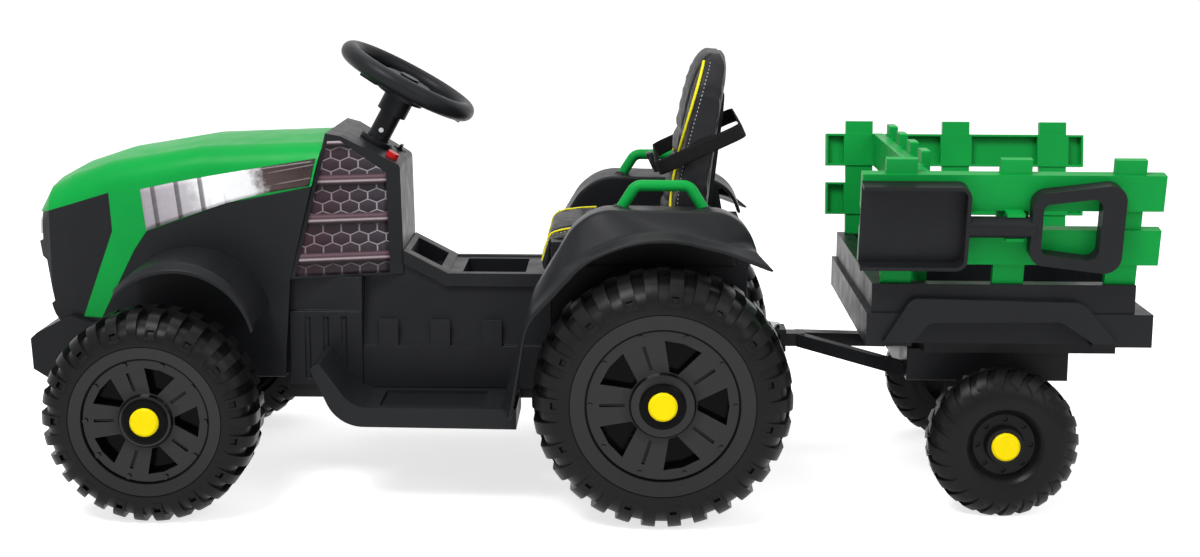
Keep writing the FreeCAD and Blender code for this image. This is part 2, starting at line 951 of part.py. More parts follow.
def make_dash_controls():
    dash = dash_height()
    button = column_rod(
        S.button_radius, dash - S.button_stand, dash + S.button_stand, S.button_down_slope, -S.button_side
    )
    node("start_button", button)
    centre = dash - S.rocker_sink
    barrel = add("Part::Cylinder", "RockerBarrel")
    tie(barrel, "Radius", S.rocker_radius)
    tie(barrel, "Height", S.rocker_length)
    put_barrel = on_column(barrel, S.button_down_slope, S.button_side - S.rocker_length / 2, centre)
    put_barrel.setExpression("Placement.Rotation.Angle", None)
    spot = put_barrel.Placement.Base
    put_barrel.Placement = Placement(spot, DIRECTIONS["Y"])
    lever_half = S.rocker_lever / 2
    lever = column_box(
        (S.button_down_slope - lever_half, S.button_down_slope + lever_half),
        (S.button_side - S.rocker_length / 2, S.button_side + S.rocker_length / 2),
        (centre, centre + S.rocker_radius + S.rocker_lever),
    )
    node("direction_rocker", fuse(put_barrel, lever))
    flange = column_rod(S.bush_flange_radius, dash, dash + S.bush_flange)
    sleeve = column_rod(S.bush_sleeve_radius, dash - S.shell_wall * 2, dash)
    bore = column_rod(
        S.column_tube_radius + S.running_clearance, dash - S.bush_flange_radius, dash + S.bush_flange_radius
    )
    node("column_bush", cut(fuse(flange, sleeve), bore))


def make_steering():
    hub_top = S.wheel_hub_top
    hub_low = hub_top - S.wheel_hub_depth
    collar_low = hub_low - S.collar_length
    tube_low = collar_low - S.column_tube_length
    ring = add("Part::Torus", "SteeringRing")
    tie(ring, "Radius1", S.wheel_ring_radius)
    tie(ring, "Radius2", S.wheel_grip_radius)
    on_column(ring, 0, 0, 0)
    hub = column_rod(S.wheel_hub_radius, hub_low, hub_top)
    collar = column_rod(S.collar_radius, collar_low, hub_low)
    spokes = []
    for number in range(int(float(S.wheel_spokes))):
        spoke = add("Part::Box", "Spoke")
        tie(spoke, "Length", S.wheel_ring_radius)
        tie(spoke, "Width", S.wheel_spoke_width)
        tie(spoke, "Height", S.wheel_spoke_depth)
        turn = Rotation(Vector(0, 0, 1), number * 360 / float(S.wheel_spokes))
        offset = turn.multVec(Vector(0, -float(S.wheel_spoke_width) / 2, 0))
        local = Placement(Vector(offset.x, offset.y, float(hub_low) + float(S.wheel_spoke_depth)), turn)
        spoke.Placement = column_placement().multiply(local)
        spokes.append(spoke)
    horn_hole_low = hub_top - S.horn_travel - S.wheel_spoke_depth
    horn_hole = column_rod(S.horn_radius + S.moving_gap, horn_hole_low, hub_top + S.wheel_spoke_depth)
    shaft_top = hub_low + S.wheel_spoke_depth
    shaft_hole = column_rod(S.shaft_radius, collar_low - S.shaft_radius, shaft_top)
    node("steering_wheel", cut(fuse(ring, hub, collar, *spokes), horn_hole, shaft_hole))
    horn_low = horn_hole_low + S.horn_travel + S.moving_gap
    node("horn_button", column_rod(S.horn_radius, horn_low, hub_top + S.horn_travel * 2))

    bolt_z = S.cross_bolt_along
    bolt_reach = S.column_tube_radius + S.cross_bolt_head
    bolt = column_cross_rod(S.cross_bolt_radius, -bolt_reach, bolt_reach, bolt_z)
    head = column_cross_rod(S.cross_bolt_head, -bolt_reach, -S.column_tube_radius, bolt_z)
    nut = column_cross_rod(S.cross_bolt_head, S.column_tube_radius, bolt_reach, bolt_z)
    tube = column_rod(S.column_tube_radius, tube_low, collar_low)
    shaft_room = column_rod(S.shaft_radius, tube_low - S.shaft_radius, collar_low + S.shaft_radius)
    node("column_tube", cut(tube, shaft_room, bolt, head, nut))

    crank_low = -S.crank_drop - S.crank_arm * 2
    arm_low = crank_low
    arm_high = crank_low + S.crank_arm
    shaft = column_rod(S.shaft_radius, arm_low, shaft_top)
    arm = column_box(
        (-S.crank_radius - S.crank_pin_radius, S.shaft_radius + S.crank_pin_radius),
        (-S.shaft_radius - S.crank_pin_radius / 2, S.shaft_radius + S.crank_pin_radius / 2),
        (arm_low, arm_high),
    )
    pin = column_rod(S.crank_pin_radius, arm_low, S.crank_arm * 1.5 - S.crank_drop, -S.crank_radius)
    node("steering_shaft", fuse(shaft, arm, pin, bolt, head, nut))


def column_placement():
    base = Vector(float(along(S.wheel_centre_x)), 0, float(S.wheel_centre_z))
    return Placement(base, Rotation(Vector(0, 1, 0), float(S.column_tilt)))


def column_cross_rod(radius, low, high, height):
    """A rod across the column, from left to right."""
    tilt = S.column_tilt
    x = along(S.wheel_centre_x) + height * sine(tilt)
    z = S.wheel_centre_z + height * cosine(tilt)
    return rod("Y", radius, (low, high), (x, z))


# Centre tunnel, footboards and pedal.
def make_tunnel():
    front, rear, step = along(S.bulkhead_x), along(S.tunnel_rear), along(S.tunnel_block_rear)
    foot, top = S.tunnel_foot_half, S.tunnel_top_half
    section = [
        (-foot, S.tunnel_low), (foot, S.tunnel_low), (foot, S.tunnel_bend_z), (top, S.tunnel_waist_z),
        (top, S.tunnel_top_z), (-top, S.tunnel_top_z), (-top, S.tunnel_waist_z), (-foot, S.tunnel_bend_z),
    ]
    tunnel = extruded("front", section, step, rear)
    block_half = S.tunnel_block_half
    block = box((front, step), (-block_half, block_half), (S.tunnel_low, S.tunnel_top_z))
    ramp_top, ramp_foot = point("ramp_top"), point("ramp_foot")
    ramp_side = [(ramp_top[0], S.tunnel_top_z), ramp_top, ramp_foot, (ramp_foot[0], S.tunnel_top_z)]
    ramp = extruded("side", ramp_side, -top, top)
    lip = S.tray_lip
    drop = lip * 3
    lip_side = [
        ramp_top, ramp_foot, (rear, ramp_foot[1]), (rear, ramp_foot[1] - drop), (ramp_foot[0], ramp_foot[1] - drop),
        (ramp_top[0], ramp_top[1] - drop),
    ]
    lips = both(extruded("side", lip_side, -top - lip, lip - top))
    skirts = both(extruded("side", skirt_outline(step, rear), -foot - S.skirt_stand, -foot))
    relief = both(make_relief(front, step))

    wall = S.shell_wall * 1.5
    room = [
        (wall - foot, 0), (foot - wall, 0), (foot - wall, S.tunnel_bend_z - wall),
        (top - wall, S.tunnel_waist_z - wall), (wall - top, S.tunnel_waist_z - wall),
        (wall - foot, S.tunnel_bend_z - wall),
    ]
    hollow = extruded("front", room, front - wall, rear - wall)
    pocket_half = S.tray_pocket_half
    floor = S.tunnel_top_z - S.tray_pocket_depth
    pocket = box(
        (along(S.tray_pocket_front), along(S.tray_pocket_rear)),
        (-pocket_half, pocket_half),
        (floor, S.wheel_centre_z),
    )
    ramp_pocket = box(
        (along(S.ramp_pocket_front), along(S.ramp_pocket_rear)),
        (-pocket_half, pocket_half),
        (S.tunnel_top_z - S.shell_wall, S.wheel_centre_z),
    )
    slot_half = S.shaft_hole_radius
    cowl_x, _ = point("cowl_top")
    slot = box((front - wall, cowl_x), (-slot_half, slot_half), (S.tunnel_low, S.tunnel_top_z + wall))
    whole = fuse(tunnel, block, ramp, lips, skirts, relief)
    return node("centre_tunnel", cut(whole, hollow, pocket, ramp_pocket, slot))


def skirt_outline(front, rear):
    """Lower skirt of the tunnel with its row of raised tabs."""
    corners = [(rear, S.floor_z), (front, S.floor_z), (front, S.skirt_z)]
    for number in range(3):
        start = along(S.tab_first) + S.tab_pitch * number
        corners += [
            (start, S.skirt_z),
            (start, S.tab_z),
            (start + S.tab_width, S.tab_z),
            (start + S.tab_width, S.skirt_z),
        ]
    return corners + [(rear, S.skirt_z)]


def make_relief(front, rear):
    margin = S.relief_margin
    out = S.tunnel_block_half + S.relief_stand
    plate = box((front + margin, rear), (-out, -S.tunnel_block_half), (S.relief_low, S.relief_high))
    slots = []
    pitch = (rear - front - margin) / (S.relief_slots + 1)
    for number in range(1, int(float(S.relief_slots)) + 1):
        middle = front + margin + pitch * number
        slots.append(
            box(
                (middle - S.relief_slot / 2, middle + S.relief_slot / 2),
                (-out - margin, margin / 2 - out),
                (S.relief_low + margin * 2, S.relief_high - margin * 2),
            )
        )
    return cut(plate, *slots)


def footboard():
    outline = points("board_toe", "board_toe_top", "board_bend_top", "board_heel_top", "board_heel", "board_bend")
    board = extruded("side", outline, -S.footboard_out, -S.tunnel_foot_half, {0: 5, 1: 5, 2: 40, 5: 50})
    tread = box(
        (along(S.tread_front), along(S.tread_rear)),
        (S.tread_margin - S.footboard_out, -S.tunnel_foot_half - S.skirt_stand - S.tread_margin),
        (S.floor_z - S.tread_depth, S.floor_z + S.tread_depth),
    )
    return cut(board, tread)


def make_footboards(tunnel):
    left = cut(footboard(), tunnel)
    node("footboard_left", left)
    ears = []
    pin_x, pin_z = along(S.pedal_hinge_x), S.pedal_hinge_z
    for low in (S.pedal_inner - S.pedal_ear - S.moving_gap, S.pedal_inner + S.pedal_width + S.moving_gap):
        half = S.pedal_ear
        ears.append(
            box((pin_x - half, pin_x + half), (low, low + S.pedal_ear), (S.floor_z - S.tread_depth, pin_z + half))
        )
    hole = rod(
        "Y", S.pedal_pin_radius + S.running_clearance, (S.tunnel_foot_half, S.footboard_out), (pin_x, pin_z)
    )
    node("footboard_right", fuse(mirrored(left), cut(fuse(*ears), hole)))


def make_pedal():
    pin_x, pin_z = along(S.pedal_hinge_x), S.pedal_hinge_z
    inner, outer = S.pedal_inner, S.pedal_inner + S.pedal_width
    barrel = rod("Y", S.pedal_thick, (inner, outer), (pin_x, pin_z))
    reach = S.pedal_ear
    pin = rod("Y", S.pedal_pin_radius, (inner - reach, outer + reach), (pin_x, pin_z))
    forward_x, forward_z = -cosine(S.pedal_tilt), sine(S.pedal_tilt)
    half = S.pedal_thick / 2
    plate = []
    for reach_out, rise in ((0, half), (S.pedal_length, half), (S.pedal_length, -half), (0, -half)):
        x = pin_x + reach_out * forward_x + rise * forward_z
        z = pin_z + reach_out * forward_z - rise * forward_x
        plate.append((x, z))
    node("throttle_pedal", fuse(extruded("side", plate, inner, outer), barrel, pin))


# Rear body, fenders, handles and seat.
def make_rear_body():
    front, rear = along(S.tunnel_rear), along(S.rear_body_rear)
    half, wall = S.rear_body_half, S.shell_wall
    shell = box((front, rear), (-half, half), (S.rear_body_low, S.rear_body_top))
    room = box(
        (front + wall, rear - wall), (wall - half, half - wall), (S.rear_body_low + wall, S.rear_body_top + wall)
    )
    tongue_rear = along(S.hitch_x) + S.eye_radius
    plate = box(
        (rear, rear + S.hitch_plate), (-S.hitch_half * 1.5, S.hitch_half * 1.5), (S.hitch_low, S.hitch_plate_top)
    )
    jaws = box((rear, tongue_rear), (-S.hitch_half, S.hitch_half), (S.hitch_low, S.hitch_high))
    gap = box(
        (rear + S.hitch_plate, tongue_rear + wall),
        (-S.hitch_half * 2, S.hitch_half * 2),
        (S.hitch_low + S.hitch_jaw, S.hitch_high - S.hitch_jaw),
    )
    pin_hole = rod("Z", S.axle_radius, (S.hitch_low - wall, S.hitch_high + wall), (along(S.hitch_x), 0))
    body = fuse(cut(shell, room), plate, jaws)
    node("rear_body", cut(body, gap, pin_hole))

    head_z = S.hitch_high
    pin = rod("Z", S.axle_radius, (S.hitch_low - S.pin_head, head_z), (along(S.hitch_x), 0))
    head = rod("Z", S.pin_head_radius, (head_z, head_z + S.pin_head), (along(S.hitch_x), 0))
    node("hitch_pin", fuse(pin, head))


def make_charging_socket():
    """Round socket on the right side of the tunnel, open to the side."""
    wall_y, spot = S.tunnel_block_half, (along(S.socket_x), S.socket_z)
    end_y = wall_y + S.socket_length
    barrel = rod("Y", S.socket_radius, (wall_y, end_y), spot)
    bore = rod("Y", S.socket_bore, (wall_y + S.socket_floor, end_y + S.socket_floor), spot)
    node("charging_socket", cut(barrel, bore))


def chain(corners, radii):
    """Lines through the corners with an arc at each inner one."""
    edges = []
    start = corners[0]
    for before, corner, after, radius in zip(corners, corners[1:], corners[2:], radii):
        back, onward = (before - corner).normalize(), (after - corner).normalize()
        half = back.getAngle(onward) / 2
        reach = radius / math.tan(half)
        middle = corner + (back + onward).normalize() * (radius / math.sin(half) - radius)
        first, last = corner + back * reach, corner + onward * reach
        edges.append(Part.LineSegment(start, first).toShape())
        edges.append(Part.Arc(first, middle, last).toShape())
        start = last
    edges.append(Part.LineSegment(start, corners[-1]).toShape())
    return edges


def inside(corners, distance):
    """The same run of corners, moved square to each line towards the wheel."""
    moved = []
    normals = []
    for first, second in zip(corners, corners[1:]):
        step = (second - first).normalize()
        normals.append(Vector(step.z, 0, -step.x))
    for number, corner in enumerate(corners):
        before = normals[max(number - 1, 0)]
        after = normals[min(number, len(normals) - 1)]
        bisector = (before + after).normalize()
        moved.append(corner + bisector * (distance / bisector.dot(before)))
    return moved


def fender_section(family, y, drop):
    """Closed band of the rear fender at one distance from the centre line."""
    corners = []
    for part_name in ("foot", "knee", "front", "crown", "rear", "tail"):
        x, z = point(f"{family}_{part_name}")
        fall = 0 if part_name == "foot" else drop
        corners.append(Vector(float(x), y, float(z) - fall))
    wall = float(S.fender_wall)
    radii = {"crest": (70, 60, 60, 55), "crease": (60, 90, 150, 60), "flare": (60, 90, 170, 80)}[family]
    outer = chain(corners, radii)
    inner_corners = inside(corners, wall)
    inner_corners[0] = Vector(corners[0].x + wall, y, corners[0].z)
    inner = chain(inner_corners, [radius - wall for radius in radii])
    ends = [
        Part.LineSegment(corners[-1], inner_corners[-1]).toShape(),
        Part.LineSegment(inner_corners[0], corners[0]).toShape(),
    ]
    ordered = outer + [ends[0]] + list(reversed(inner)) + [ends[1]]
    return Part.Wire(Part.sortEdges(ordered)[0])


def fender_inner_wall():
    """Upright plate that closes the fender towards the seat."""
    wall = S.fender_wall
    half = S.rear_body_half
    drop = S.fender_inner_drop
    outline = [
        (along(S.crest_knee_x) + wall * 4, S.rear_body_top - wall * 5),
        (along(S.crest_front_x) + wall, S.crest_front_z - wall / 2 - drop),
        (along(S.crest_crown_x) + wall, S.crest_crown_z - wall - drop),
        (along(S.crest_rear_x) - wall * 8, S.crest_rear_z - wall / 2 - drop),
        (along(S.crest_rear_x) - wall * 3, S.crest_rear_z - wall * 2 - drop),
        (along(S.crest_tail_x) - wall * 4, S.rear_body_top - wall * 5),
    ]
    return extruded("side", outline, -half - wall, -half)


def make_fenders(handle):
    half = float(S.rear_body_half)
    stations = (
        ("crest", half, float(S.fender_inner_drop)),
        ("crest", float(S.fender_crest_y), 0),
        ("crease", float(S.fender_crease_y), 0),
        ("flare", float(S.fender_flare_y), 0),
    )
    shell = solid(Part.makeLoft([fender_section(name, -y, drop) for name, y, drop in stations], True, True))
    bosses = []
    fall = (S.crest_crown_z - S.crest_rear_z) / (S.crest_rear_x - S.crest_crown_x)
    tilt = S.fender_inner_drop / (S.fender_crest_y - S.rear_body_half)
    for foot in (S.handle_foot_front, S.handle_foot_rear):
        crest = S.crest_crown_z - (foot - S.crest_crown_x) * fall - (S.fender_crest_y - S.handle_y) * tilt
        bosses.append(
            rod("Z", S.boss_radius, (crest - S.fender_wall, crest + S.boss_height), (along(foot), -S.handle_y))
        )
    left = cut(fuse(shell, fender_inner_wall(), *bosses), handle)
    node("rear_fender_left", left)
    node("rear_fender_right", mirrored(left))


def make_handles():
    lean = float(S.handle_lean)
    low = float(S.crest_rear_z) - float(S.fender_wall) / 2
    top = float(S.handle_top)
    y = -float(S.handle_y)
    front, rear = float(along(S.handle_foot_front)), float(along(S.handle_foot_rear))
    corners = [
        Vector(front, y, low), Vector(front + lean, y, top), Vector(rear - lean, y, top), Vector(rear, y, low),
    ]
    spine = Part.Wire(chain(corners, [float(S.handle_bend)] * 2))
    start = (corners[1] - corners[0]).normalize()
    ring = Part.Wire(Part.Circle(corners[0], start, float(S.handle_radius)).toShape())
    left = solid(spine.makePipeShell([ring], True, False))
    node("grab_handles", both(left))
    return left


def back_section(name, inset, front_shift=0.0, rear_shift=0.0):
    """Level section of the backrest: bowed front, straight sides, bowed rear."""
    z = float(getattr(S, f"back_{name}_z"))
    front = float(along(getattr(S, f"back_{name}_front"))) + front_shift
    rear = float(along(getattr(S, f"back_{name}_rear"))) + rear_shift
    half = float(S.back_half) - float(getattr(S, f"back_{name}_inset")) - inset
    bow = (rear - front) / 4
    corners = {
        "front_left": Vector(front + bow, -half, z), "front_right": Vector(front + bow, half, z),
        "rear_left": Vector(rear - bow / 2, -half, z), "rear_right": Vector(rear - bow / 2, half, z),
    }
    edges = [
        Part.Arc(corners["front_left"], Vector(front, 0, z), corners["front_right"]),
        Part.LineSegment(corners["front_right"], corners["rear_right"]),
        Part.Arc(corners["rear_right"], Vector(rear, 0, z), corners["rear_left"]),
        Part.LineSegment(corners["rear_left"], corners["front_left"]),
    ]
    return Part.Wire([edge.toShape() for edge in edges])


def make_seat():
    pan_top = S.rear_body_top + S.seat_pan_thick
    pan_half, half, rounding = S.rear_body_half, S.back_shell_half, S.back_shell_round
    pan = box((along(S.tunnel_rear), along(S.rear_body_rear)), (-pan_half, pan_half), (S.rear_body_top, pan_top))
    foot_x, top_x = along(S.back_low_rear), along(S.back_upper_rear)
    top_z, thick, gap = S.back_upper_z, S.back_shell, S.back_gap
    plate = extruded(
        "side", [(foot_x - thick, pan_top), (foot_x, pan_top), (top_x, top_z), (top_x - thick, top_z)], -half, half
    )
    outline = [(-half, pan_top), (half, pan_top), (half, top_z), (-half, top_z)]
    shell = common(plate, extruded("front", outline, foot_x - half, foot_x + half, {2: rounding, 3: rounding}))
    node("seat_pan", fuse(pan, shell))
    far_x = along(S.rear_body_rear)
    recess = extruded(
        "side",
        [
            (foot_x - thick - gap, pan_top - gap), (far_x, pan_top - gap), (far_x, top_z + gap),
            (top_x - thick - gap, top_z + gap),
        ],
        -half - gap, half + gap,
    )

    names = list(BACK_SECTIONS)
    back = Part.makeLoft([back_section(name, 0) for name in names], True, False)
    node("seat_backrest", cut(solid(back), recess))
    node("seat_cushion", make_cushion(pan_top))


def make_cushion(pan_top):
    """Crowned cushion with a drawn-in edge and a front roll that hangs over the pan."""
    front, rear = float(along(S.cushion_front)), float(along(S.cushion_rear))
    half, top, crown = float(S.seat_half), float(S.cushion_top), float(S.cushion_crown)
    low = float(pan_top)
    draw_in = float(S.cushion_round)

    def section(x, height, inset):
        shoulder = (height - low) / 2
        edge = half - inset
        flat = edge - min(draw_in, height - low) / 2
        edges = [
            Part.LineSegment(Vector(x, -flat, low), Vector(x, flat, low)),
            Part.Arc(Vector(x, flat, low), Vector(x, edge, low + shoulder), Vector(x, flat, height)),
            Part.Arc(Vector(x, flat, height), Vector(x, 0, height + crown), Vector(x, -flat, height)),
            Part.Arc(Vector(x, -flat, height), Vector(x, -edge, low + shoulder), Vector(x, -flat, low)),
        ]
        return Part.Wire([edge_part.toShape() for edge_part in edges])

    span = rear - front
    edge_drop = (top - crown - low) / 2
    stations = (
        (0.0, -edge_drop * 1.6, draw_in / 2),
        (0.07, -edge_drop, draw_in / 4),
        (0.25, 0.0, 0.0),
        (0.75, 0.0, 0.0),
        (1.0, -edge_drop / 3, draw_in / 4),
    )
    wires = [section(front + span * share, top + rise - crown, inset) for share, rise, inset in stations]
    pad = Part.makeLoft(wires, True, True)
    lip_rear = float(along(S.tunnel_rear)) - float(S.back_gap) / 2
    return solid(pad.fuse(front_roll(front, lip_rear, low, half - draw_in)))


def front_roll(front, rear, high, half):
    """Part of the cushion that turns down and forwards in front of the pan."""
    low, reach = float(S.cushion_low), float(S.cushion_reach)
    nose = Vector(front - reach, 0, low + reach)
    waist = Vector(front - reach * 0.6, 0, (high + low) / 2)
    chin = Vector(front - reach * 0.6, 0, low + reach * 0.2)
    edges = [
        Part.LineSegment(Vector(rear, 0, low), Vector(rear, 0, high)),
        Part.LineSegment(Vector(rear, 0, high), Vector(front, 0, high)),
        Part.Arc(Vector(front, 0, high), waist, nose),
        Part.Arc(nose, chin, Vector(front, 0, low)),
        Part.LineSegment(Vector(front, 0, low), Vector(rear, 0, low)),
    ]
    face = Part.Face(Part.Wire([edge.toShape() for edge in edges]))
    roll = face.extrude(Vector(0, 2 * half, 0))
    roll.translate(Vector(0, -half, 0))
    return roll


def make_belt():
    """Lap belt looped round the backrest, sloping up towards the rear, with its buckle in front."""
    tilt = math.radians(float(S.belt_tilt))
    front, rear = float(along(S.belt_front)), float(along(S.belt_rear))
    length = (rear - front) / math.cos(tilt)
    thick = float(S.belt_thick)
    half = float(S.back_half) + float(S.moving_gap)
    corner = float(S.belt_round)

    def loop(grow):
        outline = [
            Vector(-grow, -half - grow, 0), Vector(length + grow, -half - grow, 0),
            Vector(length + grow, half + grow, 0), Vector(-grow, half + grow, 0),
        ]
        middle = Vector(length / 2, -half - grow, 0)
        edges = chain([middle, *outline[1:], outline[0], middle], [corner + grow] * 4)
        return Part.Face(Part.Wire(edges)).extrude(Vector(0, 0, float(S.belt_width)))

    buckle_half = float(S.buckle_length) / 2
    overhang = (float(S.buckle_height) - float(S.belt_width)) / 2
    buckle = Part.makeBox(
        float(S.buckle_thick), 2 * buckle_half, float(S.buckle_height),
        Vector(-thick - float(S.buckle_thick), -buckle_half, -overhang),
    )
    band = loop(thick).cut(loop(0))
    place = Placement(Vector(front, 0, float(S.belt_z)), Rotation(Vector(0, 1, 0), -float(S.belt_tilt)))
    belt = Part.makeCompound([band, buckle])
    belt.Placement = place
    node("seat_belt", solid(belt))


# Power: battery, control box, gearboxes with motors and the rear axle.
def make_power():
    floor = S.rear_body_low + S.shell_wall
    front = along(S.battery_front)
    half = S.battery_width / 2
    node("battery", box((front, front + S.battery_length), (-half, half), (floor, floor + S.battery_height)))

    ceiling = S.tunnel_waist_z - S.shell_wall * 1.5
    box_front = along(S.control_box_front)
    box_half = S.control_box_width / 2
    node(
        "control_box",
        box(
            (box_front, box_front + S.control_box_length),
            (-box_half, box_half),
            (ceiling - S.control_box_height, ceiling),
        ),
    )

    hole = rod("Y", S.axle_radius, (-S.rear_track / 2, S.rear_track / 2), (along(0), S.rear_tyre_radius))
    outer = S.gearbox_inner + S.gearbox_width
    case = box(
        (along(S.gearbox_front), along(S.gearbox_rear)), (-outer, -S.gearbox_inner), (S.gearbox_low, S.rear_body_low)
    )
    motor = rod(
        "Y", S.motor_radius, (-S.gearbox_inner, S.motor_length - S.gearbox_inner), (along(S.motor_x), S.motor_z)
    )
    node("gearboxes", both(cut(fuse(case, motor), hole)))
    reach = S.rear_track / 2 + S.rear_tyre_width / 2 - S.cap_depth
    node("rear_axle", rod("Y", S.axle_radius, (-reach, reach), (along(0), S.rear_tyre_radius)))


# Front axle beam, knuckles and tie rod.
def make_front_axle():
    axle_x = along(-S.wheelbase)
    beam = box((axle_x - S.beam_half, axle_x + S.beam_half), (-S.beam_reach, S.beam_reach), (S.beam_low, S.beam_high))
    seat_half = S.form_middle_half - S.shell_wall / 4
    seat = box((axle_x - S.beam_half, axle_x + S.beam_half), (-seat_half, seat_half), (S.beam_high, S.front_body_low))
    bores = []
    for side in (-1, 1):
        bores.append(
            rod(
                "Z", S.axle_radius + S.running_clearance, (S.beam_low - S.beam_half, S.beam_high + S.beam_half),
                (axle_x, side * S.kingpin_y),
            )
        )
    node("front_axle_beam", cut(fuse(beam, seat), *bores))

    left = knuckle()
    node("knuckle_left", left)
    node("knuckle_right", mirrored(left))
    node("tie_rod", tie_rod(axle_x))


def knuckle():
    axle_x, axle_z = along(-S.wheelbase), S.front_tyre_radius
    pin_y = -S.kingpin_y
    half, gap = S.knuckle_half, S.moving_gap
    block = box((axle_x - half, axle_x + half), (pin_y - half, pin_y + half), (S.knuckle_low, S.beam_low - gap))
    kingpin = rod("Z", S.axle_radius, (S.beam_low - gap, S.beam_high + gap), (axle_x, pin_y))
    head = rod("Z", S.kingpin_head, (S.beam_high + gap, S.beam_high + gap + S.shell_wall), (axle_x, pin_y))
    reach = S.front_track / 2 + S.front_tyre_width / 2 - S.cap_depth
    stub = rod("Y", S.axle_radius, (-reach, pin_y), (axle_x, axle_z))
    arm_half = S.arm_pin_radius * 2
    arm_end = axle_x - S.knuckle_arm
    arm = box((arm_end - arm_half, axle_x), (pin_y - arm_half, pin_y + arm_half), (S.knuckle_low, S.knuckle_arm_high))
    pin_high = S.tie_rod_high + S.shell_wall
    arm_pin = rod("Z", S.arm_pin_radius, (S.knuckle_low, pin_high), (arm_end, pin_y))
    return fuse(block, kingpin, head, stub, arm, arm_pin)


def tie_rod(axle_x):
    """Bar between the knuckle arms with a tongue back to the crank; its slots leave room for the pins' arcs."""
    bar_x = axle_x - S.knuckle_arm
    crank_x = along(S.wheel_centre_x) - S.crank_drop * sine(S.column_tilt) - S.crank_radius * cosine(S.column_tilt)
    half, eye = S.tie_rod_half, S.tie_rod_eye_half
    height = (S.tie_rod_low, S.tie_rod_high)
    through = (S.tie_rod_low - half, S.tie_rod_high + half)
    reach = S.kingpin_y + eye
    pieces = [
        box((bar_x - half, bar_x + half), (-reach, reach), height),
        box((bar_x, crank_x + eye * 1.4), (-eye * 0.75, eye * 0.75), height),
    ]
    slots = []
    room = S.arm_pin_radius + S.tie_slot_room
    sweep = S.knuckle_arm / 14
    for side in (-1, 1):
        pin_y = side * S.kingpin_y
        pieces.append(box((bar_x - half, bar_x + eye), (pin_y - half, pin_y + half), height))
        slots.append(box((bar_x - room, bar_x + room + sweep), (pin_y - room, pin_y + room), through))
    crank_room = S.crank_pin_radius + S.tie_slot_room
    slots.append(box((crank_x - eye / 2, crank_x + eye * 0.8), (-crank_room, crank_room), through))
    return cut(fuse(*pieces), *slots)


# Wheels: each is built about its own centre with the outer face towards -Y, then placed.
def tyre_shape(radius, width, bead, lug_height, bars):
    half, wall = width / 2, float(S.tyre_wall)
    carcass = radius - lug_height
    tread = half * 0.45

    def profile(low, high, grow, side):
        """Half of the outer line, from the bead on one side to the tread edge."""
        shoulder = Vector(low + (high - low) * 0.72, side * (half - grow - half * 0.14), 0)
        return Part.Arc(Vector(low, side * (half - grow), 0), shoulder, Vector(high, side * tread, 0))

    def ring(outer_low, outer_high, outer_grow, inner_low, inner_high, inner_grow):
        chains = []
        for low, high, grow in ((outer_low, outer_high, outer_grow), (inner_low, inner_high, inner_grow)):
            chains.append((profile(low, high, grow, -1), profile(low, high, grow, 1)))
        (left, right), (left_in, right_in) = chains
        edges = [
            left.toShape(), Part.LineSegment(left.EndPoint, right.EndPoint).toShape(), right.toShape(),
            Part.LineSegment(right.StartPoint, right_in.StartPoint).toShape(), right_in.toShape(),
            Part.LineSegment(right_in.EndPoint, left_in.EndPoint).toShape(), left_in.toShape(),
            Part.LineSegment(left_in.StartPoint, left.StartPoint).toShape(),
        ]
        face = Part.Face(Part.Wire(Part.sortEdges(edges)[0]))
        return face.revolve(Vector(), Vector(0, 1, 0), 360)

    skin = ring(bead, carcass, 0, bead, carcass - wall, wall)
    envelope = ring(bead + wall / 2, radius, 0, bead + wall / 2, carcass - wall / 2, wall / 2)
    lugs = envelope.common(Part.makeCompound(bars))
    return skin.fuse(lugs.Solids).removeSplitter()


def around(bars, count, stagger):
    """Turns the lugs of one side about the wheel axis, taking the given shapes in turn."""
    turned = []
    for number in range(count):
        bar = bars[number % len(bars)].copy()
        bar.rotate(Vector(), Vector(0, 1, 0), 360 / count * (number + stagger))
        turned.append(bar)
    return turned


def tractor_lugs(radius, width, bead, pairs):
    """Long lugs that widen towards the bead, with short pierced ones between them."""
    half, height = width / 2, radius - bead
    unit = math.pi * radius / (2 * pairs)
    start, reach = bead + float(S.lug_start), radius + float(S.lug_height)
    waist = bead + height * float(S.lug_waist)
    short = bead + height * float(S.lug_short)
    hole = float(S.lug_hole)
    bars = []
    for side in (-1, 1):
        across = Vector(0, side * half, 0)
        long_edge = [(start, S.lug_flare), (waist, S.lug_neck), (reach, S.lug_crown)]
        short_edge = [(short, S.lug_small), (reach, S.lug_small)]
        shapes = []
        for edge in (long_edge, short_edge):
            upper = [Vector(x, 0, float(share) * unit) for x, share in edge]
            corners = upper + [Vector(place.x, 0, -place.z) for place in reversed(upper)]
            shapes.append(Part.Face(Part.makePolygon(corners + corners[:1])).extrude(across))
        pierced = Part.makeBox(
            hole, half, hole, Vector(short + hole / 2, 0 if side > 0 else -half, -hole / 2)
        )
        shapes[1] = shapes[1].cut(pierced)
        bars += around(shapes, 2 * pairs, 0.5 if side > 0 else 0)
    return bars


def trailer_lugs(radius, width, bead):
    """Slanted bars on both sides of the tread."""
    half, thick = width / 2, float(S.trailer_lug_width)
    start = bead + float(S.trailer_lug_start)
    bars = []
    for side in (-1, 1):
        bar = Part.makeBox(radius, half, thick, Vector(start, 0 if side > 0 else -half, -thick / 2))
        bar.rotate(Vector(radius, 0, 0), Vector(1, 0, 0), side * float(S.trailer_lug_slant))
        bars += around([bar], int(float(S.trailer_lug_count)), 0.5 if side > 0 else 0)
    return bars


def wheel_pair(name, thing, x, track, z):
    """Puts a wheel piece on the left end of its axle, with its mirror image on the right."""
    node(f"{name}_left", put(thing, x, -track / 2, z))
    node(f"{name}_right", mirrored(thing))


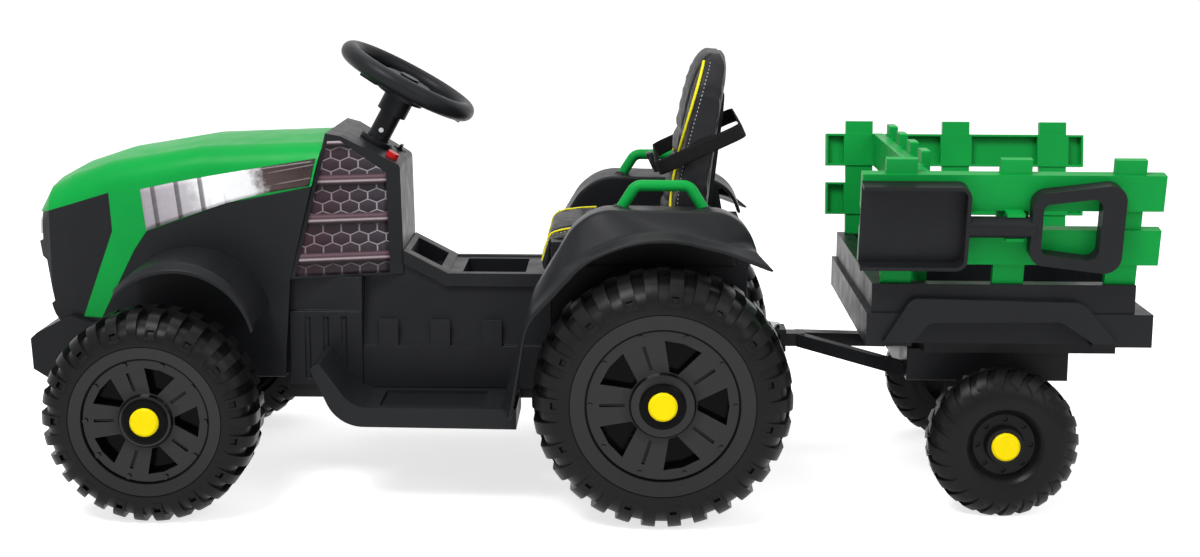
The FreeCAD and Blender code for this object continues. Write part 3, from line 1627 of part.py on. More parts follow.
def plane_of(body, role):
    return next(feature for feature in body.Origin.OriginFeatures if feature.Role == role)


def body_sketch(body, role, corners, offset=None):
    sketch = body.newObject("Sketcher::SketchObject", f"{body.Name}Sketch")
    sketch.AttachmentSupport = (plane_of(body, role), [""])
    sketch.MapMode = "FlatFace"
    if offset is not None:
        sketch.AttachmentOffset = Placement(Vector(0, 0, float(offset)), Rotation())
        sketch.setExpression("AttachmentOffset.Base.z", offset.text)
    return pinned(sketch, corners)


def rim_body(name, width, bead):
    """Dished rim: turned profile, five fan windows, grooved spokes and a ring of moulded bolts."""
    body = doc.addObject("PartDesign::Body", name)
    face, flange = -width / 2, S.rim_flange
    barrel = bead - S.tyre_wall
    step, bolt_ring = bead * S.rim_step, bead * S.rim_bolt_ring
    spoke_end, plate = bead * S.rim_spoke_end, bead * S.rim_plate
    dish = face + S.rim_dish
    back = dish + S.rim_web
    hub = S.rim_hub_radius
    bore = S.axle_radius + S.running_clearance
    floor = face + S.cap_depth
    tail = width / 2 - flange * 2
    shelf = face + flange * 1.3
    profile = [
        (bead, face), (step, face + flange * 0.7), (step, shelf), (spoke_end, shelf), (plate, shelf + flange * 0.6),
        (plate - flange / 2, face + flange), (hub, face + flange * 0.8), (hub - flange / 2, face + flange / 2),
        (S.cap_radius, face + flange / 2), (S.cap_radius, floor), (bore, floor), (bore, tail), (hub - flange, tail),
        (hub - flange, back), (barrel - flange, back), (barrel - flange, tail), (barrel, tail),
        (barrel, face + flange * 1.6), (bead, face + flange),
    ]
    sketch = body_sketch(body, "XY_Plane", profile)
    turned = body.newObject("PartDesign::Revolution", f"{name}Turned")
    turned.Profile = sketch
    turned.ReferenceAxis = (sketch, ["V_Axis"])
    turned.Angle = 360
    doc.recompute()
    window_in, window_out = plate + flange / 4, spoke_end - flange / 4
    half_in, half_out = S.window_angle * S.window_taper, S.window_angle / 2
    corners = [
        (window_in * cosine(half_in), window_in * sine(half_in)),
        (window_in * cosine(half_in), -window_in * sine(half_in)),
        (window_out * cosine(half_out), -window_out * sine(half_out)),
        (window_out, window_out * 0),
        (window_out * cosine(half_out), window_out * sine(half_out)),
    ]
    cut_round(body, sketch, corners, -shelf, S.window_depth)
    turn = S.spoke_turn
    groove = S.spoke_groove / 2
    groove_ends = []
    groove_in, groove_out = plate + flange, spoke_end - flange
    for reach, side in ((groove_in, 1), (groove_in, -1), (groove_out, -1), (groove_out, 1)):
        groove_ends.append(
            (
                reach * cosine(turn) - side * groove * sine(turn),
                reach * sine(turn) + side * groove * cosine(turn),
            )
        )
    cut_round(body, sketch, groove_ends, -shelf, S.spoke_groove)
    bolt_sketch = body.newObject("Sketcher::SketchObject", f"{name}BoltSketch")
    bolt_sketch.AttachmentSupport = (plane_of(body, "XZ_Plane"), [""])
    bolt_sketch.MapMode = "FlatFace"
    bolt_sketch.AttachmentOffset = Placement(Vector(0, 0, float(-shelf)), Rotation())
    bolt_sketch.setExpression("AttachmentOffset.Base.z", (-shelf).text)
    bolt_sketch.addGeometry(Part.Circle(Vector(float(bolt_ring), 0, 0), Vector(0, 0, 1), float(S.bolt_radius)), False)
    for kind, value in (("DistanceX", bolt_ring), ("Radius", S.bolt_radius)):
        spot = (-1, 1, 0, 3) if kind == "DistanceX" else (0,)
        index = bolt_sketch.addConstraint(Sketcher.Constraint(kind, *spot, float(value)))
        bolt_sketch.setExpression(f"Constraints[{index}]", value.text)
    bolt_sketch.addConstraint(Sketcher.Constraint("PointOnObject", 0, 3, -1))
    bolt = body.newObject("PartDesign::Pad", f"{name}Bolt")
    bolt.Profile = bolt_sketch
    tie(bolt, "Length", S.bolt_height)
    doc.recompute()
    polar(body, bolt, sketch, S.rim_bolts)
    return body


def cut_round(body, axis_sketch, corners, offset, depth):
    """Pocket of the given outline, repeated once for each spoke."""
    outline = body_sketch(body, "XZ_Plane", corners, offset)
    pocket = body.newObject("PartDesign::Pocket", f"{outline.Name}Pocket")
    pocket.Profile = outline
    tie(pocket, "Length", depth)
    doc.recompute()
    polar(body, pocket, axis_sketch, S.rim_spokes)


def polar(body, feature, sketch, copies):
    """Repeats a feature round the wheel axis."""
    pattern = body.newObject("PartDesign::PolarPattern", f"{feature.Name}Ring")
    pattern.Originals = [feature]
    pattern.Axis = (sketch, ["V_Axis"])
    pattern.Angle = 360
    tie(pattern, "Occurrences", copies)
    body.Tip = pattern
    doc.recompute()
    return pattern


def cap_body(name, width):
    """Yellow hub cap: a disc with a rounded rim that presses into the hub."""
    body = doc.addObject("PartDesign::Body", name)
    face = -width / 2
    inner, outer = face + S.cap_depth, face - S.cap_stand / 2
    profile = [
        (NOUGHT, inner), (S.cap_radius, inner), (S.cap_radius, outer + S.cap_stand / 2),
        (S.cap_radius - S.cap_stand / 2, outer), (NOUGHT, outer),
    ]
    sketch = body_sketch(body, "XY_Plane", profile)
    turned = body.newObject("PartDesign::Revolution", f"{name}Turned")
    turned.Profile = sketch
    turned.ReferenceAxis = (sketch, ["V_Axis"])
    turned.Angle = 360
    doc.recompute()
    return body


def make_tractor_wheels():
    rows = (
        ("rear", along(0), S.rear_track, S.rear_tyre_radius, S.rear_tyre_width, S.rear_bead_radius, S.rear_lug_count),
        (
            "front", along(-S.wheelbase), S.front_track, S.front_tyre_radius, S.front_tyre_width, S.front_bead_radius,
            S.front_lug_count,
        ),
    )
    for end, x, track, radius, width, bead, lugs in rows:
        lug_bars = tractor_lugs(float(radius), float(width), float(bead), int(float(lugs)))
        shape = tyre_shape(float(radius), float(width), float(bead), float(S.lug_height), lug_bars)
        wheel_pair(f"{end}_tyre", solid(shape), x, track, radius)
        wheel_pair(f"{end}_rim", rim_body(f"{end.title()}Rim", width, bead), x, track, radius)
        wheel_pair(f"{end}_cap", cap_body(f"{end.title()}Cap", width), x, track, radius)


def trailer_wheel_shape():
    """One-piece trailer wheel: tyre, ringed disc with oval slots, and hub."""
    radius, width = float(S.trailer_tyre_radius), float(S.trailer_tyre_width)
    bead, flange = float(S.trailer_bead_radius), float(S.rim_flange)
    tyre = tyre_shape(radius, width, bead, float(S.trailer_lug_height), trailer_lugs(radius, width, bead))
    half = width / 2
    cap, hub = float(S.cap_radius), float(S.cap_radius) + flange
    bore = float(S.axle_radius) + float(S.running_clearance)
    dish = float(S.rim_dish)
    inner = bead - flange
    corners = [
        (bead, -half), (inner, flange - half), (inner - flange, dish - half), (hub + flange / 2, dish - half),
        (hub, flange / 2 - half), (cap, flange / 2 - half), (cap, float(S.cap_depth) - half),
        (bore, float(S.cap_depth) - half), (bore, half - flange), (hub, half - flange), (hub, dish + flange - half),
        (inner, dish + flange - half), (inner, half), (bead, half),
    ]
    loop = [Vector(x, y, 0) for x, y in corners]
    disc = Part.Face(Part.makePolygon(loop + loop[:1])).revolve(Vector(), Vector(0, 1, 0), 360)
    slots = []
    middle = (hub + inner) / 2
    slot_depth = dish + flange / 2
    for number in range(8):
        slot = Part.makeCylinder(flange * 0.7, slot_depth, Vector(middle, -half, 0), Vector(0, 1, 0))
        slot.rotate(Vector(), Vector(0, 1, 0), 360 / 8 * number)
        slots.append(slot)
    return disc.cut(slots).fuse(tyre).removeSplitter()


# Trailer: tub, chassis, drawbar, fences, wheels and the shovel.
def make_tub():
    half, wall, ledge = S.tub_half, S.tub_wall, S.tub_ledge
    rim = box((along(S.tub_front), along(S.tub_rear)), (-half, half), (S.tub_step_z, S.tub_rim_z))
    lower = box(
        (along(S.tub_ledge_front), along(S.tub_ledge_rear)), (-half - ledge, half + ledge), (S.tub_low, S.tub_step_z)
    )
    hull = box((along(S.hull_front), along(S.hull_rear)), (-S.hull_half, S.hull_half), (S.hull_low, S.tub_low))
    names = (
        "moulding_front", "moulding_front_top", "moulding_rear_top", "moulding_rear", "moulding_inner_rear",
        "moulding_inner_rear_top", "moulding_inner_front_top", "moulding_inner_front",
    )
    stand = half + ledge + S.arch_stand
    arch = both(extruded("side", points(*names), -stand, -half, {1: 16, 2: 26, 5: 14, 6: 14}))
    room = box(
        (along(S.tub_front) + wall, along(S.tub_rear) - wall),
        (wall - half, half - wall),
        (S.tub_low + S.hull_wall, S.tub_rim_z + wall),
    )
    hull_room = box(
        (along(S.hull_front) + S.hull_wall, along(S.hull_rear) - wall),
        (S.hull_wall - S.hull_half, S.hull_half - S.hull_wall),
        (S.hull_low + S.hull_wall, S.tub_rim_z),
    )
    sockets = both(side_place(fuse(*post_tenons(S.moving_gap))))
    inner = points(*names[4:])
    recess_corners = [*inner, (inner[3][0], S.hull_low), (inner[0][0], S.hull_low)]
    recess = both(extruded("side", recess_corners, -stand, wall - S.hull_wall - half, {1: 14, 2: 14}))
    tub = cut(fuse(rim, lower, hull, arch), room, hull_room, recess, sockets)
    return node("trailer_tub", tub)


def side_place(thing):
    """Leans a piece built upright at the left side wall outwards by the fence's flare."""
    put(thing, 0, -(S.tub_half - S.tub_wall / 2), S.tub_rim_z, Rotation(Vector(1, 0, 0), float(S.fence_flare)))
    thing.setExpression("Placement.Rotation.Angle", f"{S.fence_flare.text} * 1 deg")
    return thing


def post_places():
    return [along(S.post_first) + S.post_pitch * number for number in range(3)]


def post_tenons(room):
    tenons = []
    for middle in post_places():
        half = S.tenon_width / 2 + room
        thick = S.tenon_thick / 2 + room
        height = (-S.tenon_depth - room, NOUGHT + room)
        tenons.append(box((middle - half, middle + half), (-thick, thick), height))
    return tenons


def plank_cells(low):
    """Hollows on the inner face of one plank, parted by ribs at the posts."""
    edges = [along(S.fence_front)]
    for middle in post_places():
        edges += [middle - S.post_width / 2, middle + S.post_width / 2]
    edges.append(along(S.fence_rear))
    cells = []
    for start, end in zip(edges[::2], edges[1::2]):
        cells.append(
            box(
                (start + S.rib, end - S.rib),
                (S.plank_stand - S.plank_thick * 0.7, S.plank_thick),
                (low + S.rib, low + S.plank_height - S.rib),
            )
        )
    return cells


def side_fence():
    back = S.plank_stand
    planks, cells = [], []
    for low in (S.plank_low, S.plank_high):
        length = (along(S.fence_front), along(S.fence_rear))
        planks.append(box(length, (back - S.plank_thick, back), (low, low + S.plank_height)))
        cells += plank_cells(low)
    posts = []
    half, thick = S.post_width / 2, S.post_thick / 2
    for middle in post_places():
        posts.append(box((middle - half, middle + half), (-thick, thick), (NOUGHT, S.post_height)))
    clip_x = post_places()[1]
    clip_half = S.clip_width / 2
    outer_y = S.plank_stand - S.plank_thick
    shaft_y = outer_y - S.moving_gap - S.shovel_shaft_radius
    room = S.shovel_shaft_radius + S.moving_gap
    arm = room + S.clip_wall
    clip = box(
        (clip_x - clip_half, clip_x + clip_half),
        (shaft_y - S.clip_wall, outer_y + S.clip_wall),
        (S.shovel_z - arm, S.shovel_z + arm),
    )
    channel = box(
        (clip_x - S.clip_width, clip_x + S.clip_width),
        (shaft_y - S.post_width, outer_y),
        (S.shovel_z - room, S.shovel_z + room),
    )
    boards = cut(fuse(*planks), *cells)
    return side_place(fuse(boards, *posts, *post_tenons(0), cut(clip, channel)))


def make_fences(tub):
    left = cut(side_fence(), tub)
    node("fence_left", left)
    node("fence_right", mirrored(left))
    front, rear = along(S.front_fence_x), along(S.front_fence_x) + S.plank_thick
    rim = S.tub_rim_z
    slope = tangent(S.fence_flare)
    inner = S.tub_half - S.tub_wall / 2 - S.plank_stand - S.moving_gap * 2
    planks = []
    for low in (S.plank_low, S.plank_high):
        high = low + S.plank_height
        outline = [
            (-(inner + low * slope), rim + low), (inner + low * slope, rim + low),
            (inner + high * slope, rim + high), (-(inner + high * slope), rim + high),
        ]
        planks.append(extruded("front", outline, front, rear))
    posts = []
    half = S.front_fence_post / 2
    floor = S.tub_low + S.hull_wall
    for number in range(int(float(S.front_fence_posts))):
        middle = S.front_fence_pitch * (number - (float(S.front_fence_posts) - 1) / 2)
        depth = (rear - S.rib, rear + S.plank_thick / 2)
        posts.append(box(depth, (middle - half, middle + half), (floor, rim + S.post_height)))
    node("fence_front", fuse(*planks, *posts))


def make_trailer_frame():
    half, wall = S.chassis_half, S.shell_wall
    front, rear = along(S.chassis_front), along(S.chassis_rear)
    axle_x, axle_z = along(S.trailer_axle_x), S.trailer_tyre_radius
    case = box((front, rear), (-half, half), (S.chassis_low, S.hull_low))
    room = box((front + wall, rear - wall), (wall - half, half - wall), (S.chassis_low - wall, S.hull_low - wall))
    leg = box((axle_x - S.leg_half, axle_x + S.leg_half), (-half, S.leg_width - half), (S.leg_low, S.hull_low - wall))
    reach = S.trailer_track / 2 + S.trailer_tyre_width / 2 - S.cap_depth
    axle = rod("Y", S.axle_radius, (-reach, reach), (axle_x, axle_z))
    node("trailer_chassis", cut(fuse(cut(case, room), both(leg)), axle))
    node("trailer_axle", axle)

    hitch_x = along(S.hitch_x)
    low, high = S.hitch_low + S.hitch_jaw + S.moving_gap, S.hitch_high - S.hitch_jaw - S.moving_gap
    eye = rod("Z", S.eye_radius, (low, high), (hitch_x, 0))
    neck_half = S.eye_radius * 0.8
    neck_rear = hitch_x + S.eye_radius * 2.4
    neck = box((hitch_x, neck_rear), (-neck_half, neck_half), (low, high))
    arm = solid(draw_arm(float(neck_rear), float(front), float(low), float(high)))
    bore = rod("Z", S.axle_radius + S.running_clearance, (S.hitch_low, S.hitch_high), (hitch_x, 0))
    node("drawbar", cut(fuse(eye, neck, both(arm)), bore))


def draw_arm(start, end, low, high):
    """One leg of the drawbar's fork, from the neck down to the chassis."""
    width, drop = float(S.draw_arm_width), float(S.draw_arm_drop)

    def section(x, y, fall):
        corners = [
            Vector(x, y - width / 2, low - fall), Vector(x, y + width / 2, low - fall),
            Vector(x, y + width / 2, high - fall), Vector(x, y - width / 2, high - fall),
        ]
        return Part.makePolygon(corners + corners[:1])

    overlap = width / 2
    near = section(start - overlap, -width / 4, 0)
    return Part.makeLoft([near, section(end, -float(S.draw_arm_end), drop)], True, True)


def make_trailer_wheels():
    x, z = along(S.trailer_axle_x), S.trailer_tyre_radius
    wheel_pair("trailer_wheel", solid(trailer_wheel_shape()), x, S.trailer_track, z)
    wheel_pair("trailer_cap", cap_body("TrailerCap", S.trailer_tyre_width), x, S.trailer_track, z)


def make_shovel():
    """Scoop, shaft and D grip, lying along the left fence in its clip."""
    outer_y = S.plank_stand - S.plank_thick - S.moving_gap
    front, blade_rear = along(S.shovel_front), along(S.blade_rear)
    low, high = S.shovel_z - S.blade_height / 2, S.shovel_z + S.blade_height / 2
    wall = S.blade_wall
    tray_outline = [(front, low), (blade_rear, low), (blade_rear, high), (front, high)]
    tray = extruded("side", tray_outline, outer_y - S.blade_depth, outer_y, {1: S.blade_round, 2: S.blade_round})
    room_outline = [
        (front - wall, low + wall), (blade_rear - wall, low + wall), (blade_rear - wall, high - wall),
        (front - wall, high - wall),
    ]
    scoop = extruded(
        "side", room_outline, outer_y - S.blade_depth - wall, outer_y - wall,
        {1: S.blade_round - wall, 2: S.blade_round - wall},
    )
    shaft_y = outer_y - S.shovel_shaft_radius
    grip_front, grip_rear = along(S.grip_front), along(S.grip_rear)
    shaft = rod("X", S.shovel_shaft_radius, (blade_rear - wall, grip_front + wall), (shaft_y, S.shovel_z))
    outline = [
        (grip_front, S.shovel_z - S.grip_front_half), (grip_rear, S.shovel_z - S.grip_rear_half),
        (grip_rear, S.shovel_z + S.grip_rear_half), (grip_front, S.shovel_z + S.grip_front_half),
    ]
    grip_y = (shaft_y - S.shovel_shaft_radius * 0.8, shaft_y + S.shovel_shaft_radius * 0.8)
    frame = extruded("side", outline, *grip_y, {0: 18, 1: 20, 2: 20, 3: 18})
    side, bar = S.grip_side, S.grip_bar
    hole_outline = [
        (grip_front + side, S.shovel_z - S.grip_front_half + side),
        (grip_rear - bar, S.shovel_z - S.grip_rear_half + side * 1.4),
        (grip_rear - bar, S.shovel_z + S.grip_rear_half - side * 1.4),
        (grip_front + side, S.shovel_z + S.grip_front_half - side),
    ]
    hole = extruded("side", hole_outline, grip_y[0] - wall, grip_y[1] + wall, {0: 8, 1: 12, 2: 12, 3: 8})
    node("shovel", side_place(fuse(cut(tray, scoop), shaft, cut(frame, hole))))


def export():
    """Checks every object, then writes one file for each node."""
    doc.recompute()
    for thing in doc.Objects:
        if {"Invalid", "Error"} & set(thing.State):
            raise RuntimeError(f"{thing.Name} did not build: {thing.State}")
    os.makedirs("parts", exist_ok=True)
    for thing in nodes:
        if thing.Shape.isNull() or not thing.Shape.isValid() or not thing.Shape.Solids:
            raise RuntimeError(f"{thing.Label} has no valid solid")
        thing.Shape.exportStep(f"parts/{thing.Label}.step")


outer_form, nose_block_form, tower_form, front_body_form = make_front_end()
make_lamps(nose_block_form)
make_bumper(nose_block_form, front_body_form)
make_front_fenders(outer_form)
make_tower(tower_form)
make_dash_controls()
make_steering()
make_footboards(make_tunnel())
make_pedal()
make_rear_body()
make_charging_socket()
make_fenders(make_handles())
make_seat()
make_belt()
make_power()
make_front_axle()
make_tractor_wheels()
make_fences(make_tub())
make_trailer_frame()
make_trailer_wheels()
make_shovel()
export()
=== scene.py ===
import json
import math

import bmesh
import bpy
from mathutils import Matrix, Vector
from mathutils.bvhtree import BVHTree


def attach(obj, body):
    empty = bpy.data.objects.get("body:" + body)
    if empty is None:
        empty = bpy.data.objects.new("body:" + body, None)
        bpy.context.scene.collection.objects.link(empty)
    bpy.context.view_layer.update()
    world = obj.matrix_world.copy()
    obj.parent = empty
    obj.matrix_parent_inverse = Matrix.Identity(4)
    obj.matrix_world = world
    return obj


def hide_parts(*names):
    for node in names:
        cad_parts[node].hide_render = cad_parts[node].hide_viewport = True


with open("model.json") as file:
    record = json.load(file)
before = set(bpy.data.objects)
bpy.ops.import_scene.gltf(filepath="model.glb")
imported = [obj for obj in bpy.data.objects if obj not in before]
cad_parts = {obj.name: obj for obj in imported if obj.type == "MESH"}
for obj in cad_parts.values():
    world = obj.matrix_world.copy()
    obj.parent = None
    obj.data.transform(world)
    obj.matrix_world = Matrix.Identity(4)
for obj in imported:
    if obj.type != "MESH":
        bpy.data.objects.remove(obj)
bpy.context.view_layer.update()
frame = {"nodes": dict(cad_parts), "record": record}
nodes = frame["nodes"]
MM = 0.001
REAR_AXLE = 103.2


def at(x, y, z):
    """A place measured in millimetres back from the rear axle, in the row frame."""
    return Vector(((REAR_AXLE + x) * MM, y * MM, z * MM))


# Camera fitted to the photograph: focal length in pixels of a 1200-pixel-wide image, place and angles.
FOCAL_PIXELS = 1899.14
IMAGE_WIDTH = 1200
SENSOR_WIDTH = 36.0
CAMERA_PLACE = at(-45.49, -2487.39, 721.86)
PITCH = math.radians(10.527)
ROLL = math.radians(-0.279)
YAW = math.radians(-0.788)


def make_camera():
    data = bpy.data.cameras.new("camera")
    data.sensor_width = SENSOR_WIDTH
    data.sensor_fit = "HORIZONTAL"
    data.lens = FOCAL_PIXELS / IMAGE_WIDTH * SENSOR_WIDTH
    data.clip_end = 200
    forward = Vector((math.sin(YAW), math.cos(YAW), 0))
    right = Vector((math.cos(YAW), -math.sin(YAW), 0))
    up = Vector((0, 0, 1))
    look = math.cos(PITCH) * forward - math.sin(PITCH) * up
    lift = math.sin(PITCH) * forward + math.cos(PITCH) * up
    side = math.cos(ROLL) * right - math.sin(ROLL) * lift
    top = math.sin(ROLL) * right + math.cos(ROLL) * lift
    camera = link(bpy.data.objects.new("camera", data))
    camera.matrix_world = Matrix.Translation(CAMERA_PLACE) @ Matrix((side, top, -look)).transposed().to_4x4()
    bpy.context.scene.camera = camera


# Material helpers.
class Graph:
    """A new material with its principled shader and short ways to add nodes."""

    def __init__(self, name, color, roughness, **sockets):
        self.material = bpy.data.materials.new(name)
        self.material.use_nodes = True
        self.tree = self.material.node_tree
        self.shader = self.tree.nodes["Principled BSDF"]
        self.shader.inputs["Base Color"].default_value = (*color, 1)
        self.shader.inputs["Roughness"].default_value = roughness
        for socket, value in sockets.items():
            self.shader.inputs[socket.replace("_", " ").title().replace("Ior", "IOR")].default_value = value
        self.coords = self.add("ShaderNodeTexCoord").outputs["Object"]

    def add(self, kind, **settings):
        node = self.tree.nodes.new(kind)
        for key, value in settings.items():
            setattr(node, key, value)
        return node

    def link(self, source, target):
        self.tree.links.new(source, target)

    def axes(self, vector=None):
        """X, Y and Z of a vector, or of the place on the object."""
        node = self.add("ShaderNodeSeparateXYZ")
        self.link(vector or self.coords, node.inputs["Vector"])
        return [node.outputs[axis] for axis in "XYZ"]

    def noise(self, scale, detail=3.0, roughness=0.5):
        node = self.add("ShaderNodeTexNoise")
        node.inputs["Scale"].default_value = scale
        node.inputs["Detail"].default_value = detail
        node.inputs["Roughness"].default_value = roughness
        self.link(self.coords, node.inputs["Vector"])
        return node.outputs["Fac"]

    def ramp(self, factor, *stops):
        node = self.add("ShaderNodeValToRGB")
        elements = node.color_ramp.elements
        while len(elements) < len(stops):
            elements.new(0.5)
        for element, (place, color) in zip(elements, stops):
            element.position = place
            element.color = (*color, 1)
        self.link(factor, node.inputs["Fac"])
        return node.outputs["Color"]

    def span(self, factor, low, high, start=0.3, end=0.7):
        node = self.add("ShaderNodeMapRange")
        for socket, value in (("From Min", start), ("From Max", end), ("To Min", low), ("To Max", high)):
            node.inputs[socket].default_value = value
        self.link(factor, node.inputs["Value"])
        return node.outputs["Result"]

    def math(self, operation, first, second=None, third=None):
        node = self.add("ShaderNodeMath", operation=operation)
        for socket, value in zip(node.inputs, (first, second, third)):
            if value is None:
                continue
            if isinstance(value, (int, float)):
                socket.default_value = value
            else:
                self.link(value, socket)
        return node.outputs["Value"]

    def mix(self, factor, first, second):
        node = self.add("ShaderNodeMix", data_type="RGBA")
        for socket, value in (("Factor", factor), ("A", first), ("B", second)):
            kind = "VALUE" if socket == "Factor" else "RGBA"
            slot = next(found for found in node.inputs if found.name == socket and found.type == kind)
            if isinstance(value, tuple):
                slot.default_value = (*value, 1)
            elif isinstance(value, (int, float)):
                slot.default_value = value
            else:
                self.link(value, slot)
        return next(found for found in node.outputs if found.type == "RGBA")

    def bump(self, height, strength, distance, onto=None):
        node = self.add("ShaderNodeBump")
        node.inputs["Strength"].default_value = strength
        node.inputs["Distance"].default_value = distance
        self.link(height, node.inputs["Height"])
        if onto is not None:
            self.link(onto, node.inputs["Normal"])
        return node.outputs["Normal"]

    def set(self, socket, source):
        self.link(source, self.shader.inputs[socket])


def shade(color, factor):
    return tuple(min(1.0, channel * factor) for channel in color)


# Moulded plastic: scales of the tone drift and of the gloss drift, range of the gloss, and paler edges: a painted
# highlight along the edges, partly rubbed wear.
DRIFT_SCALE, GLOSS_SCALE = 6, 35
SMOOTHER, ROUGHER = 0.05, 0.07
WEAR_AND_HIGHLIGHT_START, WEAR_AND_HIGHLIGHT_END, WEAR_AND_HIGHLIGHT_TONE = 0.52, 0.62, 1.9
GRAIN_STRENGTH = 0.35


def moulded(name, color, roughness, grain=900, depth=0.0002, tone=0.08, wear_and_highlight=0.25, gloss=0.2, **sockets):
    """Moulded plastic: slight tone drift, fine grain and paler edges, a painted highlight along the edges with some
    rubbed wear.
    """
    graph = Graph(name, color, roughness, specular_ior_level=gloss, **sockets)
    drift = graph.noise(DRIFT_SCALE, 4)
    base = graph.ramp(drift, (0.35, shade(color, 1 - tone)), (0.65, shade(color, 1 + tone)))
    pointed = graph.add("ShaderNodeNewGeometry").outputs["Pointiness"]
    # Paler where the surface is pointed: a painted highlight along edges, partly rubbed wear.
    edge = graph.span(pointed, 0, wear_and_highlight, WEAR_AND_HIGHLIGHT_START, WEAR_AND_HIGHLIGHT_END)
    graph.set("Base Color", graph.mix(edge, base, shade(color, WEAR_AND_HIGHLIGHT_TONE)))
    graph.set("Roughness", graph.span(graph.noise(GLOSS_SCALE, 5), roughness - SMOOTHER, roughness + ROUGHER))
    graph.set("Normal", graph.bump(graph.noise(grain, 2), GRAIN_STRENGTH, depth))
    return graph.material


GREEN = (0.006, 0.315, 0.053)
CHARCOAL = (0.0118, 0.0124, 0.0142)
YELLOW = (0.90, 0.70, 0.002)
materials = {
    "green_plastic": moulded("green_plastic", GREEN, 0.34, 700, 0.0001, 0.06, 0.2, 0.07),
    "black_plastic": moulded("black_plastic", CHARCOAL, 0.36, 1300, 0.00015, 0.12, 0.3, 0.115),
    "tyre_black": moulded("tyre_black", (0.0062, 0.0062, 0.0067), 0.33, 900, 0.0002, 0.15, 0.3, 0.12),
    "yellow_plastic": moulded("yellow_plastic", YELLOW, 0.3, 600, 0.0001, 0.04, 0.1, 0.06),
    "red_plastic": moulded("red_plastic", (0.55, 0.010, 0.010), 0.25, 600, 0.0001, 0.05, 0.1),
    "lamp_lens": moulded("lamp_lens", (0.62, 0.64, 0.66), 0.12, 300, 0.0001, 0.04, 0.1, 0.5),
    "steel": moulded("steel", (0.52, 0.53, 0.55), 0.33, 1500, 0.0001, 0.1, 0.1, 0.5, metallic=1.0),
    "battery_case": moulded("battery_case", (0.03, 0.03, 0.034), 0.5),
    "seat_cover": moulded("seat_cover", (0.014, 0.014, 0.016), 0.42, 800, 0.0006, 0.1, 0.2),
    "belt_webbing": moulded("belt_webbing", (0.012, 0.012, 0.013), 0.7, 1500, 0.0006, 0.15, 0.1),
}


# Rims, in metres. Pairs are (rear, front): face, middle along X and up Z, inner edge of the outer band, and bead.
FRONT_RIMS = -0.25
RIM_FACE, RIM_X, RIM_Z = (0.291, 0.2805), (0.1032, -0.5208), (0.158, 0.131)
RIM_BAND, RIM_BEAD = (0.0923, 0.0767), (0.1125, 0.0935)
# Radius of the dark hub ring, half width of the painted shadow lines at the seams, and the depths over which the
# windows darken as painted shade.
HUB_RING, SEAM_SHADOW = 0.0285, 0.0014
WINDOW_SHADE_DEPTHS = (0.0085, 0.0115)
# Tones of the outer band and of the dark places, which are painted shade in the windows, painted shadow lines at the
# seams and the dark hub ring; shine of face and dark places; roughness of face and band.
BAND_TONE, DARK_TONE = 1.5, 0.35
RIM_SHINE, RIM_ROUGHNESS = (0.26, 0.05), (0.14, 0.36)


def rim_plastic():
    """Glossy rim: matt outer band, shining face, painted shade in the windows, painted shadow lines along the seams,
    and a dark hub ring.
    """
    color = (0.0050, 0.0050, 0.0057)
    graph = Graph("rim_black", color, 0.16)
    x, y, z = graph.axes()
    front = graph.math("LESS_THAN", x, FRONT_RIMS)

    def of_wheel(pair):
        return graph.math("MULTIPLY_ADD", front, pair[1] - pair[0], pair[0])

    def square(value, middle):
        away = graph.math("SUBTRACT", value, middle)
        return graph.math("MULTIPLY", away, away)

    inward = graph.math("SUBTRACT", of_wheel(RIM_FACE), graph.math("ABSOLUTE", y))
    reach = graph.math("SQRT", graph.math("ADD", square(x, of_wheel(RIM_X)), square(z, of_wheel(RIM_Z))))
    band_edge = of_wheel(RIM_BAND)
    band = graph.math("GREATER_THAN", reach, band_edge)
    # Painted shade: the windows darken with depth, and thin painted shadow lines run along the band step and the
    # bead; the hub ring is dark too.
    dark = graph.math("MAXIMUM", graph.span(inward, 0, 1, *WINDOW_SHADE_DEPTHS), graph.math("LESS_THAN", reach, HUB_RING))
    for edge in (band_edge, of_wheel(RIM_BEAD)):
        away = graph.math("ABSOLUTE", graph.math("SUBTRACT", reach, edge))
        dark = graph.math("MAXIMUM", dark, graph.math("LESS_THAN", away, SEAM_SHADOW))
    drift = graph.ramp(graph.noise(DRIFT_SCALE, 4), (0.35, shade(color, 0.9)), (0.65, shade(color, 1.1)))
    toned = graph.mix(band, drift, shade(color, BAND_TONE))
    graph.set("Base Color", graph.mix(dark, toned, shade(color, DARK_TONE)))
    graph.set("Specular IOR Level", graph.span(dark, *RIM_SHINE, 0, 1))
    graph.set("Roughness", graph.span(band, *RIM_ROUGHNESS, 0, 1))
    graph.set("Normal", graph.bump(graph.noise(500, 2), GRAIN_STRENGTH, 0.00004))
    return graph.material


def leather_cover():
    """Seat cover: fine pebbled leather cloth with a soft sheen."""
    color = (0.0125, 0.0125, 0.0142)
    drift_scale, pebble_scale, crease_scale, gloss_scale = 14, 420, 60, 90
    graph = Graph("leather", color, 0.42, specular_ior_level=0.15, sheen_weight=0.02, sheen_roughness=0.4)
    drift = graph.noise(drift_scale, 4)
    graph.set("Base Color", graph.ramp(drift, (0.35, shade(color, 0.8)), (0.65, shade(color, 1.35))))
    pebbles = graph.add("ShaderNodeTexVoronoi", feature="DISTANCE_TO_EDGE")
    pebbles.inputs["Scale"].default_value = pebble_scale
    graph.link(graph.coords, pebbles.inputs["Vector"])
    creases = graph.bump(graph.noise(crease_scale, 5, 0.6), 0.25, 0.0015)
    graph.set("Normal", graph.bump(pebbles.outputs["Distance"], 0.35, 0.0006, creases))
    graph.set("Roughness", graph.span(graph.noise(gloss_scale, 4), 0.36, 0.52))
    return graph.material


